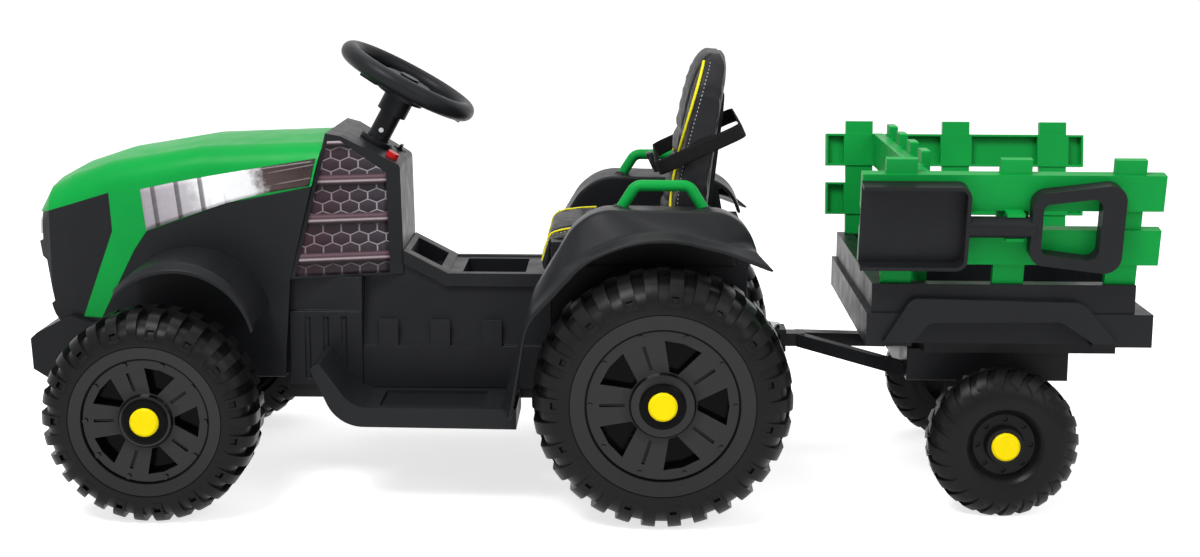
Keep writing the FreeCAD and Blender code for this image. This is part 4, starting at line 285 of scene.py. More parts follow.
def webbing_weave():
    """Belt webbing: twill ribs across and along the band."""
    color = (0.0075, 0.0075, 0.0082)
    rib_turns, line_turns = 1400, 90
    graph = Graph("webbing", color, 0.72, specular_ior_level=0.08, sheen_weight=0.01)
    along, across, _ = graph.axes(graph.add("ShaderNodeUVMap", uv_map="weave").outputs["UV"])
    ribs = graph.math("SINE", graph.math("MULTIPLY", along, rib_turns))
    lines = graph.math("SINE", graph.math("MULTIPLY", across, line_turns))
    weave = graph.math("MULTIPLY", ribs, lines)
    graph.set("Normal", graph.bump(weave, 0.5, 0.0006))
    tone = graph.span(weave, 0.7, 1.35, -1, 1)
    graph.set("Base Color", graph.mix(tone, shade(color, 0.7), shade(color, 1.5)))
    return graph.material


def honeycomb_print():
    """Printed grille: six-sided cells with pale outlines, dark towards the front foot, and bright slats between."""
    graph = Graph("honeycomb", (0.05, 0.04, 0.045), 0.28, specular_ior_level=0.12)
    cell, squeeze, shift_x, shift_z = 0.0222, 0.71, 40.3, 20.0
    line_start, line_end = 0.444, 0.478
    front_x, rear_x = -0.365, -0.25
    slats, slat_shift = 20.0, -5.54
    foot_z, clear_z = 0.278, 0.3
    root = math.sqrt(3)
    x, _, z = graph.axes()
    wide = graph.math("MULTIPLY_ADD", x, 1 / cell, shift_x)
    tall = graph.math("MULTIPLY_ADD", z, 1 / (cell * squeeze), shift_z)

    def folded(shift):
        """Distance squared, six-sided distance and height from the nearest of one set of cell middles."""
        run = graph.math("SUBTRACT", graph.math("MODULO", graph.math("ADD", wide, shift * 0.5), 1.0), 0.5)
        rise = graph.math("SUBTRACT", graph.math("MODULO", graph.math("ADD", tall, shift * root / 2), root), root / 2)
        square = graph.math("ADD", graph.math("MULTIPLY", run, run), graph.math("MULTIPLY", rise, rise))
        across = graph.math("ABSOLUTE", run)
        half = graph.math("MULTIPLY", across, 0.5)
        slanted = graph.math("MULTIPLY_ADD", graph.math("ABSOLUTE", rise), root / 2, half)
        return square, graph.math("MAXIMUM", across, slanted), rise

    first, second = folded(0), folded(1)
    nearer = graph.math("LESS_THAN", first[0], second[0])
    reach = graph.math("MINIMUM", first[1], second[1])
    rise = graph.math(
        "ADD", graph.math("MULTIPLY", nearer, first[2]),
        graph.math("MULTIPLY", graph.math("SUBTRACT", 1.0, nearer), second[2]),
    )
    outline = graph.span(reach, 0, 1, line_start, line_end)
    rear = graph.span(x, 0, 1, front_x, rear_x)
    inside = graph.mix(rear, (0.050, 0.021, 0.029), (0.052, 0.046, 0.056))
    inside = graph.mix(graph.span(rise, 0.7, 0, -0.5, 0.4), inside, (0.010, 0.006, 0.008))
    lines = graph.mix(rear, (0.20, 0.14, 0.16), (0.33, 0.31, 0.34))
    cells = graph.mix(outline, inside, lines)
    height = graph.math("FRACT", graph.math("MULTIPLY_ADD", z, slats, slat_shift))
    slat = graph.ramp(
        height, (0.0, (0.02, 0.012, 0.016)), (0.08, (0.03, 0.02, 0.024)), (0.36, (0.012, 0.008, 0.01)),
        (0.43, (0.04, 0.024, 0.029)), (0.475, (0.46, 0.38, 0.41)), (0.52, (0.06, 0.036, 0.045)),
        (0.58, (0.17, 0.10, 0.125)), (0.64, (0.05, 0.03, 0.036)),
    )
    covered = graph.span(graph.math("ABSOLUTE", graph.math("SUBTRACT", height, 0.5)), 1, 0, 0.12, 0.17)
    printed = graph.mix(covered, cells, slat)
    shadow = graph.ramp(height, (0.14, (1, 1, 1)), (0.37, (0.1, 0.1, 0.1)), (0.4, (1, 1, 1)))
    darker = graph.add("ShaderNodeMix", data_type="RGBA", blend_type="MULTIPLY")
    sockets = [socket for socket in darker.inputs if socket.type == "RGBA"]
    darker.inputs[0].default_value = 0.8
    graph.link(printed, sockets[0])
    graph.link(shadow, sockets[1])
    toned = next(socket for socket in darker.outputs if socket.type == "RGBA")
    foot = graph.span(z, 0.75, 0, foot_z, clear_z)
    graph.set("Base Color", graph.mix(foot, toned, (0.02, 0.014, 0.017)))
    graph.set("Normal", graph.bump(graph.math("MAXIMUM", outline, covered), 0.3, 0.0008))
    graph.set("Roughness", graph.span(graph.noise(50, 4), 0.24, 0.36))
    return graph.material


def hood_print():
    """Printed hood panel: pale vents at the front, a painted highlight sweeping across the middle, then dark with
    thin pale lines.
    """
    graph = Graph("hood_print", (0.3, 0.28, 0.3), 0.22, specular_ior_level=0.3)
    vent_pitch, line_pitch = 0.031, 0.016
    front_x, rear_x, middle_z = -0.56, -0.34, 0.39
    x, _, z = graph.axes()
    rag = graph.math("MULTIPLY_ADD", graph.noise(70, 6, 0.7), 0.05, -0.025)
    slope = graph.math("MULTIPLY", graph.math("SUBTRACT", z, middle_z), 0.4)
    sweep = graph.math("ADD", graph.math("ADD", x, rag), slope)
    # The white stops in the middle of this ramp are a painted highlight, a lamp's reflection across the panel.
    base = graph.ramp(
        graph.span(sweep, 0, 1, front_x, rear_x),
        (0.0, (0.34, 0.31, 0.35)), (0.28, (0.48, 0.46, 0.49)), (0.40, (0.92, 0.93, 0.95)),
        (0.66, (0.80, 0.81, 0.82)), (0.76, (0.06, 0.035, 0.035)), (1.0, (0.028, 0.014, 0.014)),
    )
    lean = graph.math("ADD", x, graph.math("MULTIPLY", z, 0.12))
    vent = graph.math("FRACT", graph.math("MULTIPLY_ADD", lean, 1 / vent_pitch, 20.2))
    slot = graph.ramp(
        vent, (0.0, (0, 0, 0)), (0.12, (0, 0, 0)), (0.15, (1, 1, 1)), (0.3, (0.9, 0.9, 0.9)), (0.36, (0, 0, 0)),
    )
    front = graph.span(sweep, 1, 0, -0.47, -0.45)
    cut = graph.math("MULTIPLY", graph.math("MULTIPLY", slot, front), 0.85)
    vents = graph.mix(cut, base, (0.05, 0.042, 0.048))
    drop = graph.math("SUBTRACT", z, graph.math("MULTIPLY", x, 0.19))
    row = graph.math("FRACT", graph.math("MULTIPLY", drop, 1 / line_pitch))
    line = graph.math("ABSOLUTE", graph.math("SUBTRACT", row, 0.5))
    rear = graph.span(sweep, 0, 1, -0.39, -0.37)
    pins = graph.math("MULTIPLY", graph.span(line, 0.55, 0, 0.02, 0.05), rear)
    graph.set("Base Color", graph.mix(pins, vents, (0.34, 0.31, 0.31)))
    graph.set("Roughness", graph.span(graph.noise(40, 4), 0.18, 0.3))
    return graph.material


materials.update(
    rim_black=rim_plastic(),
    leather=leather_cover(),
    webbing=webbing_weave(),
    honeycomb=honeycomb_print(),
    hood_print=hood_print(),
    piping=moulded("piping", (0.80, 0.72, 0.004), 0.38, 900, 0.0002, 0.06, 0.1),
    thread=moulded("thread", (0.55, 0.55, 0.55), 0.6, 2500, 0.0003, 0.1, 0.1),
)


# CAD nodes: materials from their slots, and softened edges. Bevel widths are in millimetres.
BEVELS = {
    "steering_wheel": 1.0, "hood": 2.0, "seat_belt": 0.4, "front_bumper": 2.5, "trailer_tub": 2.5, "shovel": 2.2,
    "fence_left": 2.0, "fence_right": 2.0, "fence_front": 2.0, "footboard_left": 4.5, "footboard_right": 4.5,
    "drawbar": 3.0, "dash_tower": 2.5,
}
PLAIN_BEVEL = 1.5
BEVEL_ANGLE = math.radians(32)
SMOOTH_ANGLE = math.radians(28)
WELD = 0.00002
FENDER_VOXEL = 0.0016
FENDER_RUBS = 26


def smoothing():
    """Geometry nodes that shade a mesh smooth except across sharp edges."""
    group = bpy.data.node_groups.new("smoothing", "GeometryNodeTree")
    group.interface.new_socket("Geometry", in_out="INPUT", socket_type="NodeSocketGeometry")
    group.interface.new_socket("Geometry", in_out="OUTPUT", socket_type="NodeSocketGeometry")
    enter = group.nodes.new("NodeGroupInput")
    leave = group.nodes.new("NodeGroupOutput")
    plain = group.nodes.new("GeometryNodeRemoveAttribute")
    plain.inputs["Name"].default_value = "custom_normal"
    faces = group.nodes.new("GeometryNodeSetShadeSmooth")
    angle = group.nodes.new("GeometryNodeInputMeshEdgeAngle")
    sharp = group.nodes.new("FunctionNodeCompare")
    sharp.operation = "GREATER_THAN"
    sharp.inputs["B"].default_value = SMOOTH_ANGLE
    edges = group.nodes.new("GeometryNodeSetShadeSmooth")
    edges.domain = "EDGE"
    edges.inputs["Shade Smooth"].default_value = False
    group.links.new(enter.outputs[0], plain.inputs["Geometry"])
    group.links.new(plain.outputs["Geometry"], faces.inputs["Geometry"])
    group.links.new(faces.outputs["Geometry"], edges.inputs["Geometry"])
    group.links.new(angle.outputs["Unsigned Angle"], sharp.inputs["A"])
    group.links.new(sharp.outputs["Result"], edges.inputs["Selection"])
    group.links.new(edges.outputs["Geometry"], leave.inputs[0])
    return group


def rub_smooth(thing):
    """Melt a fender's lofted strips into one soft form."""
    melt = thing.modifiers.new("remesh", "REMESH")
    melt.mode = "VOXEL"
    melt.voxel_size = FENDER_VOXEL
    rub = thing.modifiers.new("rub", "SMOOTH")
    rub.factor = 0.5
    rub.iterations = FENDER_RUBS


def round_edges(thing, width):
    """Soften the sharp edges of a CAD node."""
    bevel = thing.modifiers.new("bevel", "BEVEL")
    bevel.width = width * MM
    bevel.segments = 2
    bevel.limit_method = "ANGLE"
    bevel.angle_limit = BEVEL_ANGLE
    bevel.use_clamp_overlap = True
    bevel.harden_normals = True


def dress_nodes():
    slots = {part["node"]: part["material_slot"] for part in frame["record"]["subparts"]}
    group = smoothing()
    for name, thing in nodes.items():
        fender = name.startswith("rear_fender")
        thing.data.materials.clear()
        thing.data.materials.append(materials[slots[name]])
        weld = thing.modifiers.new("weld", "WELD")
        weld.merge_threshold = WELD
        if fender:
            rub_smooth(thing)
        thing.modifiers.new("smoothing", "NODES").node_group = group
        if not fender:
            round_edges(thing, BEVELS.get(name, PLAIN_BEVEL))


# Piece helpers.
def link(thing):
    bpy.context.scene.collection.objects.link(thing)
    return thing


def piece(name, data, material):
    """A new piece of the tractor, with its material and slot."""
    data.materials.append(materials[material])
    thing = link(bpy.data.objects.new(name, data))
    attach(thing, "tractor")
    return thing


def applied(thing):
    """Freeze a thing's modifiers into its mesh."""
    graph = bpy.context.evaluated_depsgraph_get()
    mesh = bpy.data.meshes.new_from_object(thing.evaluated_get(graph))
    thing.modifiers.clear()
    thing.data = mesh
    return mesh


def surface_of(thing):
    mesh = thing.data
    return BVHTree.FromPolygons([vertex.co for vertex in mesh.vertices], [face.vertices for face in mesh.polygons])


def smooth(mesh):
    mesh.polygons.foreach_set("use_smooth", [True] * len(mesh.polygons))
    mesh.update()


def sheet_mesh(name, rows):
    """Mesh of quads through rows of points."""
    count = len(rows[0])
    corners = [point for row in rows for point in row]
    quads = [
        (row * count + column, row * count + column + 1, (row + 1) * count + column + 1, (row + 1) * count + column)
        for row in range(len(rows) - 1)
        for column in range(count - 1)
    ]
    mesh = bpy.data.meshes.new(name)
    mesh.from_pydata(corners, [], quads)
    mesh.validate()
    smooth(mesh)
    return mesh


def through(stops, value):
    """Value of a broken line through (place, height) stops."""
    for (left, low), (right, high) in zip(stops, stops[1:]):
        if value <= right:
            share = max(0.0, (value - left) / (right - left))
            return low + share * (high - low)
    return stops[-1][1]


# Padded seat: the CAD solids blown up as cloth, then sewn channels, piping and stitches. Sizes are in millimetres.
VOXEL = 4.0
SWELL = 7.0
SHRINK = 5.5
GRIP_SINK = 0.3
PRESSURE = 4.0
CLOTH_FRAMES = 20
SOFTENINGS = 8


def blown(name, source, held):
    """Padded piece: a copy of a CAD solid drawn in and blown up again, held where it lies on its carrier."""
    thing = link(bpy.data.objects.new(name, nodes[source].data.copy()))
    thing.data.materials.clear()
    remesh = thing.modifiers.new("remesh", "REMESH")
    remesh.mode = "VOXEL"
    remesh.voxel_size = VOXEL * MM
    mesh = applied(thing)
    grip = thing.vertex_groups.new(name="grip")
    for vertex in mesh.vertices:
        if held(vertex.co, vertex.normal):
            grip.add([vertex.index], 1.0, "REPLACE")
            vertex.co -= vertex.normal * GRIP_SINK * MM
        else:
            vertex.co -= vertex.normal * SHRINK * MM
    start = [vertex.co.copy() for vertex in mesh.vertices]
    blow(thing)
    mesh = applied(thing)
    for vertex, rest in zip(mesh.vertices, start):
        move = vertex.co - rest
        if move.length > SWELL * MM:
            vertex.co = rest + move.normalized() * SWELL * MM
    thing.modifiers.new("soften", "SMOOTH").iterations = SOFTENINGS
    thing.modifiers.new("subdivide", "SUBSURF").levels = 1
    smooth(applied(thing))
    return thing


def blow(thing):
    """Run the cloth under pressure for a fixed count of frames."""
    cloth = thing.modifiers.new("cloth", "CLOTH")
    cloth.settings.use_pressure = True
    cloth.settings.uniform_pressure_force = PRESSURE
    cloth.settings.effector_weights.gravity = 0
    cloth.settings.vertex_group_mass = "grip"
    cloth.point_cache.frame_start = 1
    cloth.point_cache.frame_end = CLOTH_FRAMES
    for step in range(1, CLOTH_FRAMES + 1):
        bpy.context.scene.frame_set(step)


def sew(thing, depth):
    """Press sewn channels into a padded piece: depth gives millimetres for a place and its normal."""
    mesh = thing.data
    moves = [vertex.normal * -depth(vertex.co, vertex.normal) * MM for vertex in mesh.vertices]
    for vertex, move in zip(mesh.vertices, moves):
        vertex.co += move
    mesh.update()


def groove(distance, width, depth):
    """Depth of a soft channel at a distance from its line."""
    return depth * math.exp(-((distance / width) ** 2))


def tube(name, route, radius):
    """Piping: a round bead along a smooth line."""
    curve = bpy.data.curves.new(name, "CURVE")
    curve.dimensions = "3D"
    curve.bevel_depth = radius * MM
    curve.bevel_resolution = 3
    spline = curve.splines.new("NURBS")
    spline.points.add(len(route) - 1)
    for point, place in zip(spline.points, route):
        point.co = (*place, 1)
    spline.order_u = 3
    spline.use_endpoint_u = True
    curve.use_fill_caps = True
    piece(name, curve, "piping")


# Thread: length of a stitch, gap between two, thickness, height over the cover, and corners round a stitch.
STITCH_LONG, STITCH_GAP, STITCH_RADIUS, STITCH_PROUD = 3.0, 2.2, 0.42, 0.15
STITCH_RING = 6


def stitches(name, route, normals):
    """Thread: short spindles along a line, each half sunk in the cover."""
    lengths = [0.0]
    for first, second in zip(route, route[1:]):
        lengths.append(lengths[-1] + (second - first).length)
    spots = list(zip(lengths, range(len(route))))

    def place(distance):
        for (start, index), (end, _) in zip(spots, spots[1:]):
            if distance <= end:
                share = (distance - start) / max(end - start, 1e-9)
                return route[index].lerp(route[index + 1], share), normals[index]
        return route[-1], normals[-1]

    corners, faces = [], []
    distance = 0.0
    while distance + STITCH_LONG * MM < lengths[-1]:
        near, normal = place(distance)
        far, _ = place(distance + STITCH_LONG * MM)
        across = (far - near).normalized().cross(normal).normalized()
        base = len(corners)
        corners.append(near)
        for share in (0.25, 0.75):
            centre = near.lerp(far, share) + normal * STITCH_PROUD * MM
            for step in range(STITCH_RING):
                angle = step * math.tau / STITCH_RING
                corners.append(centre + (across * math.cos(angle) + normal * math.sin(angle)) * STITCH_RADIUS * MM)
        corners.append(far)
        low, high, last = base + 1, base + 1 + STITCH_RING, base + 1 + 2 * STITCH_RING
        for step in range(STITCH_RING):
            after = (step + 1) % STITCH_RING
            faces.append((base, low + after, low + step))
            faces.append((low + step, low + after, high + after, high + step))
            faces.append((last, high + step, high + after))
        distance += (STITCH_LONG + STITCH_GAP) * MM
    mesh = bpy.data.meshes.new(name)
    mesh.from_pydata(corners, [], faces)
    smooth(mesh)
    piece(name, mesh, "thread")


def laid(surface, origins, aims, proud):
    """Points and normals where rays from the origins meet a surface, lifted off it a little."""
    route, normals = [], []
    for origin, aim in zip(origins, aims):
        place, normal, _, _ = surface.ray_cast(origin, aim.normalized())
        if place is not None:
            route.append(place + normal * proud * MM)
            normals.append(normal)
    return route, normals


def cover(name, source, held, depth):
    """Leather cover in place of a CAD cushion; gives its surface."""
    thing = blown(name, source, held)
    sew(thing, depth)
    thing.data.materials.append(materials["leather"])
    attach(thing, "tractor")
    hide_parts(source)
    return surface_of(thing)


SIDES = ((-1, "left"), (1, "right"))
CHANNEL_WIDTH, CHANNEL_DEPTH, SEAM_WIDTH = 3.5, 3.0, 4.0
PIPING_PROUD = 0.9
# Backrest: piping as (x, z) places, stitch row behind it, long channels and cross seams.
BACK_PIPING = (
    (52.2, 552.5), (50.8, 547), (46.6, 532), (42.2, 516), (37.8, 500), (33.3, 483.5), (28.9, 467), (25, 451),
    (21, 434.5), (17, 412), (13.4, 390), (12, 375), (11.5, 360), (11, 345),
)
BACK_BEAD, BACK_STITCH, BACK_STEPS = 2.0, 7.5, 6
BACK_CHANNEL, BACK_SEAMS, BACK_SEAM_DEPTH = 62, (372, 402, 432, 462), 3.5
BESIDE = 200


def make_backrest():
    def held(_, normal):
        return normal.x > 0.8 or normal.z < -0.5

    def depth(place, normal):
        if normal.x > -0.2:
            return 0.0
        across = abs(place.y) / MM
        height = place.z / MM
        total = groove(across - BACK_CHANNEL, CHANNEL_WIDTH, CHANNEL_DEPTH)
        if across < BACK_CHANNEL:
            total += max(groove(height - seam, SEAM_WIDTH, BACK_SEAM_DEPTH) for seam in BACK_SEAMS)
        return total

    surface = cover("backrest_cover", "seat_backrest", held, depth)
    fine = [
        (x1 + (x2 - x1) * step / BACK_STEPS + BACK_STITCH, z1 + (z2 - z1) * step / BACK_STEPS)
        for (x1, z1), (x2, z2) in zip(BACK_PIPING, BACK_PIPING[1:])
        for step in range(BACK_STEPS)
    ]
    for side, label in SIDES:
        def beside(line, proud):
            origins = [at(x, side * BESIDE, z) for x, z in line]
            return laid(surface, origins, [Vector((0, -side, 0))] * len(origins), proud)

        route, _ = beside(BACK_PIPING, PIPING_PROUD)
        tube(f"backrest_piping_{label}", route, BACK_BEAD)
        stitches(f"backrest_stitches_{label}", *beside(fine, 0.0))


# Cushion: channels and seams as on the backrest, piping and stitch row along the front part and round the front roll.
CUSHION_BEAD, CUSHION_PIPING, CUSHION_STITCH = 1.4, 86, 93
CUSHION_CHANNEL, CUSHION_SEAMS, CUSHION_SEAM_DEPTH = 72, (-100, -70, -40), 3.0
CUSHION_HELD = 0.331
CUSHION_PLACES, ABOVE = range(-86, -118, -4), 420
ROLL_X, ROLL_Z, ROLL_AWAY, ROLL_ANGLES = -118, 320, 0.1, range(80, -41, -8)


def make_cushion():
    def held(place, normal):
        return normal.z < -0.3 or (normal.x > 0.5 and place.z < CUSHION_HELD)

    def depth(place, normal):
        if normal.z < 0.1 and normal.x > -0.3:
            return 0.0
        across = abs(place.y) / MM
        along = place.x / MM - REAR_AXLE
        total = groove(across - CUSHION_CHANNEL, CHANNEL_WIDTH, CHANNEL_DEPTH)
        if across < CUSHION_CHANNEL:
            total += max(groove(along - seam, SEAM_WIDTH, CUSHION_SEAM_DEPTH) for seam in CUSHION_SEAMS)
        return total

    surface = cover("cushion_cover", "seat_cushion", held, depth)
    for side, label in SIDES:
        def over(across, proud):
            origins = [at(x, side * across, ABOVE) for x in CUSHION_PLACES]
            aims = [Vector((0, 0, -1))] * len(origins)
            for angle in ROLL_ANGLES:
                turn = math.radians(angle)
                away = Vector((-math.cos(turn), 0, math.sin(turn)))
                origins.append(at(ROLL_X, side * across, ROLL_Z) + away * ROLL_AWAY)
                aims.append(-away)
            return laid(surface, origins, aims, proud)

        route, _ = over(CUSHION_PIPING, PIPING_PROUD)
        tube(f"cushion_piping_{label}", route[::2], CUSHION_BEAD)
        stitches(f"cushion_stitches_{label}", *over(CUSHION_STITCH, 0.0))


# Lap belt: flat webbing in a loop round the backrest, with its buckle in front. Sizes are in millimetres.
BELT_FRONT, BELT_REAR, BELT_LOW, BELT_TILT = -1.0, 104.0, 412.0, math.radians(25)
BELT_HALF, BELT_WIDTH, BELT_THICK, BELT_ROUND = 104.4, 19.0, 2.2, 14.0
CORNER_STEPS, STRAIGHT_STEPS, RIBS = 8, 12, 14
SELVEDGE, SELVEDGE_RISE = 0.35, 6


def on_belt(along, across, up):
    """A place in the belt's own sloping frame."""
    x = BELT_FRONT + along * math.cos(BELT_TILT) - up * math.sin(BELT_TILT)
    z = BELT_LOW + along * math.sin(BELT_TILT) + up * math.cos(BELT_TILT)
    return at(x, across, z)


def belt_route():
    """Loop of (along, across, outward) round the backrest, with rounded corners."""
    length = (BELT_REAR - BELT_FRONT) / math.cos(BELT_TILT)
    low, high = BELT_ROUND, length - BELT_ROUND
    edge = BELT_HALF - BELT_ROUND
    centres = ((high, -edge, -90), (high, edge, 0), (low, edge, 90), (low, -edge, 180))
    route = []
    for (along, across, start), following in zip(centres, centres[1:] + centres[:1]):
        for step in range(CORNER_STEPS + 1):
            angle = math.radians(start + step * 90 / CORNER_STEPS)
            out = (math.cos(angle), math.sin(angle))
            route.append((along + BELT_ROUND * out[0], across + BELT_ROUND * out[1], out))
        angle = math.radians(start + 90)
        out = (math.cos(angle), math.sin(angle))
        first = route[-1]
        last = (following[0] + BELT_ROUND * out[0], following[1] + BELT_ROUND * out[1])
        for step in range(1, STRAIGHT_STEPS):
            share = step / STRAIGHT_STEPS
            route.append((first[0] + (last[0] - first[0]) * share, first[1] + (last[1] - first[1]) * share, out))
    return route


def belt_profile():
    """Section of the webbing as (up, outward) places, thinner at both selvedges."""

    def places(steps, side):
        for share in (step / RIBS for step in steps):
            swell = min(1.0, SELVEDGE_RISE * min(share, 1 - share) + SELVEDGE)
            yield share * BELT_WIDTH, BELT_THICK * (0.5 + side * 0.5 * swell)

    return [(0.0, 0.0), *places(range(RIBS + 1), 1), (BELT_WIDTH, 0.0), *places(range(RIBS - 1, 0, -1), -1)]


def make_belt():
    profile = belt_profile()
    route = belt_route()
    corners, faces = [], []
    for along, across, out in route:
        for up, proud in profile:
            corners.append(on_belt(along + out[0] * proud, across + out[1] * proud, up))
    count, sides = len(route), len(profile)
    for index in range(count):
        after = (index + 1) % count
        for side in range(sides):
            nearby = (side + 1) % sides
            faces.append((index * sides + side, after * sides + side, after * sides + nearby, index * sides + nearby))
    mesh = bpy.data.meshes.new("belt_webbing")
    mesh.from_pydata(corners, [], faces)
    layer = mesh.uv_layers.new(name="weave")
    for face in mesh.polygons:
        for corner in face.loop_indices:
            index = mesh.loops[corner].vertex_index
            row = index // sides
            if face.index // sides == count - 1 and row == 0:
                row = count
            layer.data[corner].uv = (row / count, profile[index % sides][0] / BELT_WIDTH)
    smooth(mesh)
    belt = piece("belt_webbing", mesh, "webbing")
    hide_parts("seat_belt")
    make_buckle()


# Buckle blocks as (along, across, up) spans in the belt's frame, counted from the outside of the webbing.
BUCKLE = (
    ((-6, 0), (-23, -5), (-4, 23)), ((-9, -2), (-5, 6), (-2, 21)), ((-8, -1), (6, 23), (1, 18)),
    ((-8.5, -1.5), (-16, 8), (-4, 0)), ((-8.5, -1.5), (-16, 8), (19, 23)), ((-7.5, -4), (-19, -9), (4, 15)),
)
BUCKLE_ROUND = 1.6


def make_buckle():
    """Side-release buckle: a frame with a bar, a tongue body and two spring arms."""
    shape = bmesh.new()
    for along, across, up in BUCKLE:
        for vertex in bmesh.ops.create_cube(shape, size=1.0)["verts"]:
            shares = [value + 0.5 for value in vertex.co]
            spans = ((along[0] - BELT_THICK, along[1] - BELT_THICK), across, up)
            vertex.co = on_belt(*(low + share * (high - low) for share, (low, high) in zip(shares, spans)))
    bmesh.ops.bevel(
        shape, geom=shape.edges[:], offset=BUCKLE_ROUND * MM, segments=3, affect="EDGES", profile=0.5,
        clamp_overlap=True,
    )
    mesh = bpy.data.meshes.new("belt_buckle")
    shape.to_mesh(mesh)
    shape.free()
    smooth(mesh)
    piece("belt_buckle", mesh, "black_plastic")


# Printed panels: thin films laid on the hood sides and the tower sides. The outside of a film stands FILM off the
# plastic, and FILM_SHARE of that is its thickness. Hood edges are (x, z) stops and tower edges (z, x) stops.
FILM, FILM_SHARE, FILM_ASIDE = 0.4, 0.8, 300
HOOD_LOW = ((-655, 338), (-600, 358), (-553, 374), (-500, 388), (-452, 396), (-446, 397))
HOOD_HIGH = ((-661, 391), (-620, 400), (-560, 411), (-507, 420), (-446, 430), (-436, 431.5))
HOOD_FRONT, HOOD_LENGTH, HOOD_LEAN, HOOD_STEPS, HOOD_LEVELS = -655, 209, 6, 44, 8
TOWER_LEFT = ((280, -467), (452, -424.5))
TOWER_RIGHT = ((280, -350), (410, -353.5), (452, -409))
TOWER_FOOT, TOWER_HEIGHT, TOWER_STEPS, TOWER_LEVELS = 280, 172, 32, 16


def film(name, source, rows, side, material):
    """Lay rows of (x, z) places on a node's side as a printed film."""
    surface = surface_of(nodes[source])
    laid_rows = []
    for row in rows:
        points = []
        for x, z in row:
            place, _, _, _ = surface.ray_cast(at(x, side * FILM_ASIDE, z), Vector((0, -side, 0)))
            points.append(place + Vector((0, side * FILM * MM, 0)))
        laid_rows.append(points)
    mesh = sheet_mesh(name, laid_rows)
    if side > 0:
        mesh.flip_normals()
    thing = piece(name, mesh, material)
    solidify = thing.modifiers.new("thickness", "SOLIDIFY")
    solidify.thickness = FILM * FILM_SHARE * MM
    solidify.offset = -1


def hood_row(share):
    """Places up the hood print, a share of its length back from the front."""
    row = []
    for level in range(HOOD_LEVELS + 1):
        x = HOOD_FRONT + share * (HOOD_LENGTH + level) - (1 - share) * HOOD_LEAN * level / HOOD_LEVELS
        low, high = through(HOOD_LOW, x), through(HOOD_HIGH, x)
        row.append((x, low + (high - low) * level / HOOD_LEVELS))
    return row


def tower_row(z):
    """Places across the tower print at one height."""
    left, right = through(TOWER_LEFT, z), through(TOWER_RIGHT, z)
    return [(left + (right - left) * level / TOWER_LEVELS, z) for level in range(TOWER_LEVELS + 1)]


def make_films():
    hood_rows = [hood_row(step / HOOD_STEPS) for step in range(HOOD_STEPS + 1)]
    tower_rows = [tower_row(TOWER_FOOT + TOWER_HEIGHT * step / TOWER_STEPS) for step in range(TOWER_STEPS + 1)]
    for side, label in SIDES:
        film(f"hood_panel_{label}", "hood", hood_rows, side, "hood_print")
        film(f"tower_panel_{label}", "dash_tower", tower_rows, side, "honeycomb")


# Stage: pale floor, soft lamps, white surroundings. Lamps are given by place, size in metres and power in watts.
WORLD_LIGHT, WORLD_SHOWN = 0.4, 1.0
FLOOR_REACH, FLOOR_TONE, FLOOR_GLOW = 60, 0.86, 0.72
LAMPS = {
    "key": ((-1.0, -1.75, 2.95), 1.3, 85),
    "fill": ((2.2, -2.4, 2.2), 2.0, 32),
    "top": ((0.0, 0.9, 3.4), 2.5, 22),
}
LAMP_AIM = Vector((0, 0, 0.25))


def backdrop_rays(tree):
    """One for rays that show the background: camera, glossy and transmission rays."""
    path = tree.nodes.new("ShaderNodeLightPath")
    total = path.outputs["Is Camera Ray"]
    for kind in ("Is Glossy Ray", "Is Transmission Ray"):
        node = tree.nodes.new("ShaderNodeMath")
        node.operation = "MAXIMUM"
        tree.links.new(total, node.inputs[0])
        tree.links.new(path.outputs[kind], node.inputs[1])
        total = node.outputs["Value"]
    return total


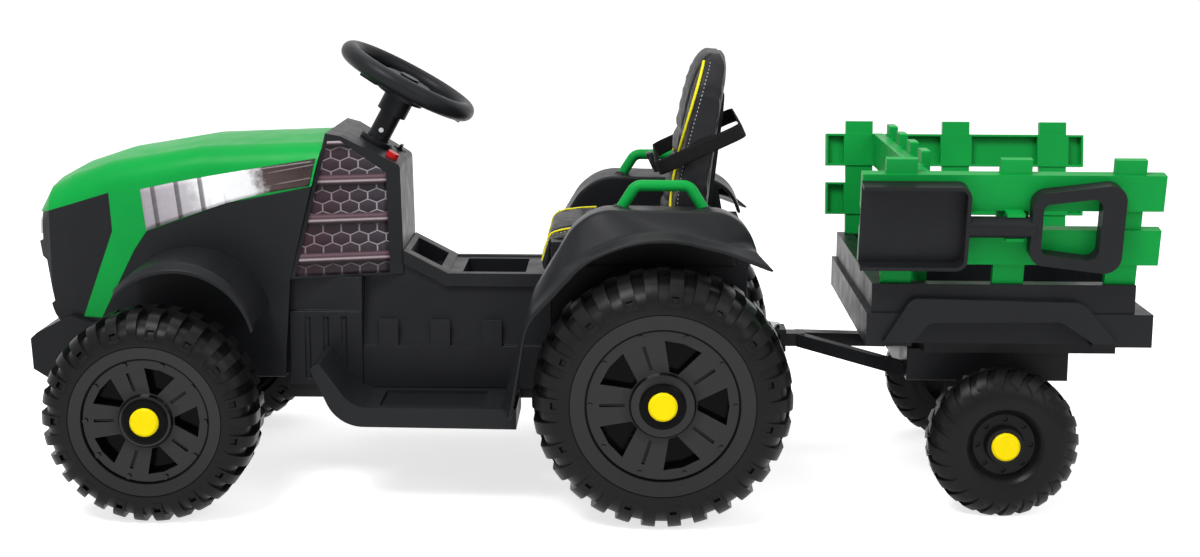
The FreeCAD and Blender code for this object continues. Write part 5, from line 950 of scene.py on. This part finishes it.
def make_stage():
    world = bpy.data.worlds.new("studio")
    bpy.context.scene.world = world
    world.use_nodes = True
    tree = world.node_tree
    strength = tree.nodes.new("ShaderNodeMapRange")
    strength.inputs["To Min"].default_value = WORLD_LIGHT
    strength.inputs["To Max"].default_value = WORLD_SHOWN
    tree.links.new(backdrop_rays(tree), strength.inputs["Value"])
    background = tree.nodes["Background"]
    background.inputs["Color"].default_value = (1, 1, 1, 1)
    tree.links.new(strength.outputs["Result"], background.inputs["Strength"])

    mesh = bpy.data.meshes.new("floor")
    corners = [(x * FLOOR_REACH, y * FLOOR_REACH, 0) for x, y in ((-1, -1), (1, -1), (1, 1), (-1, 1))]
    mesh.from_pydata(corners, [], [(0, 1, 2, 3)])
    floor = link(bpy.data.objects.new("floor", mesh))
    paint = bpy.data.materials.new("floor_paint")
    paint.use_nodes = True
    tree = paint.node_tree
    tree.nodes.clear()
    diffuse = tree.nodes.new("ShaderNodeBsdfDiffuse")
    diffuse.inputs["Color"].default_value = (FLOOR_TONE, FLOOR_TONE, FLOOR_TONE, 1)
    glow = tree.nodes.new("ShaderNodeEmission")
    lift = tree.nodes.new("ShaderNodeMath")
    lift.operation = "MULTIPLY"
    lift.inputs[1].default_value = FLOOR_GLOW
    tree.links.new(backdrop_rays(tree), lift.inputs[0])
    tree.links.new(lift.outputs["Value"], glow.inputs["Strength"])
    both = tree.nodes.new("ShaderNodeAddShader")
    tree.links.new(diffuse.outputs[0], both.inputs[0])
    tree.links.new(glow.outputs[0], both.inputs[1])
    out = tree.nodes.new("ShaderNodeOutputMaterial")
    tree.links.new(both.outputs[0], out.inputs["Surface"])
    mesh.materials.append(paint)

    for name, (place, size, power) in LAMPS.items():
        lamp(name, place, size, power)


def lamp(name, place, size, power):
    data = bpy.data.lights.new(name, "AREA")
    data.shape = "SQUARE"
    data.size = size
    data.energy = power
    thing = link(bpy.data.objects.new(name, data))
    thing.location = place
    thing.rotation_euler = (LAMP_AIM - Vector(place)).to_track_quat("-Z", "Y").to_euler()


bpy.context.scene.view_settings.view_transform = "Standard"
make_camera()
make_stage()
make_backrest()
make_cushion()
make_belt()
make_films()
dress_nodes()
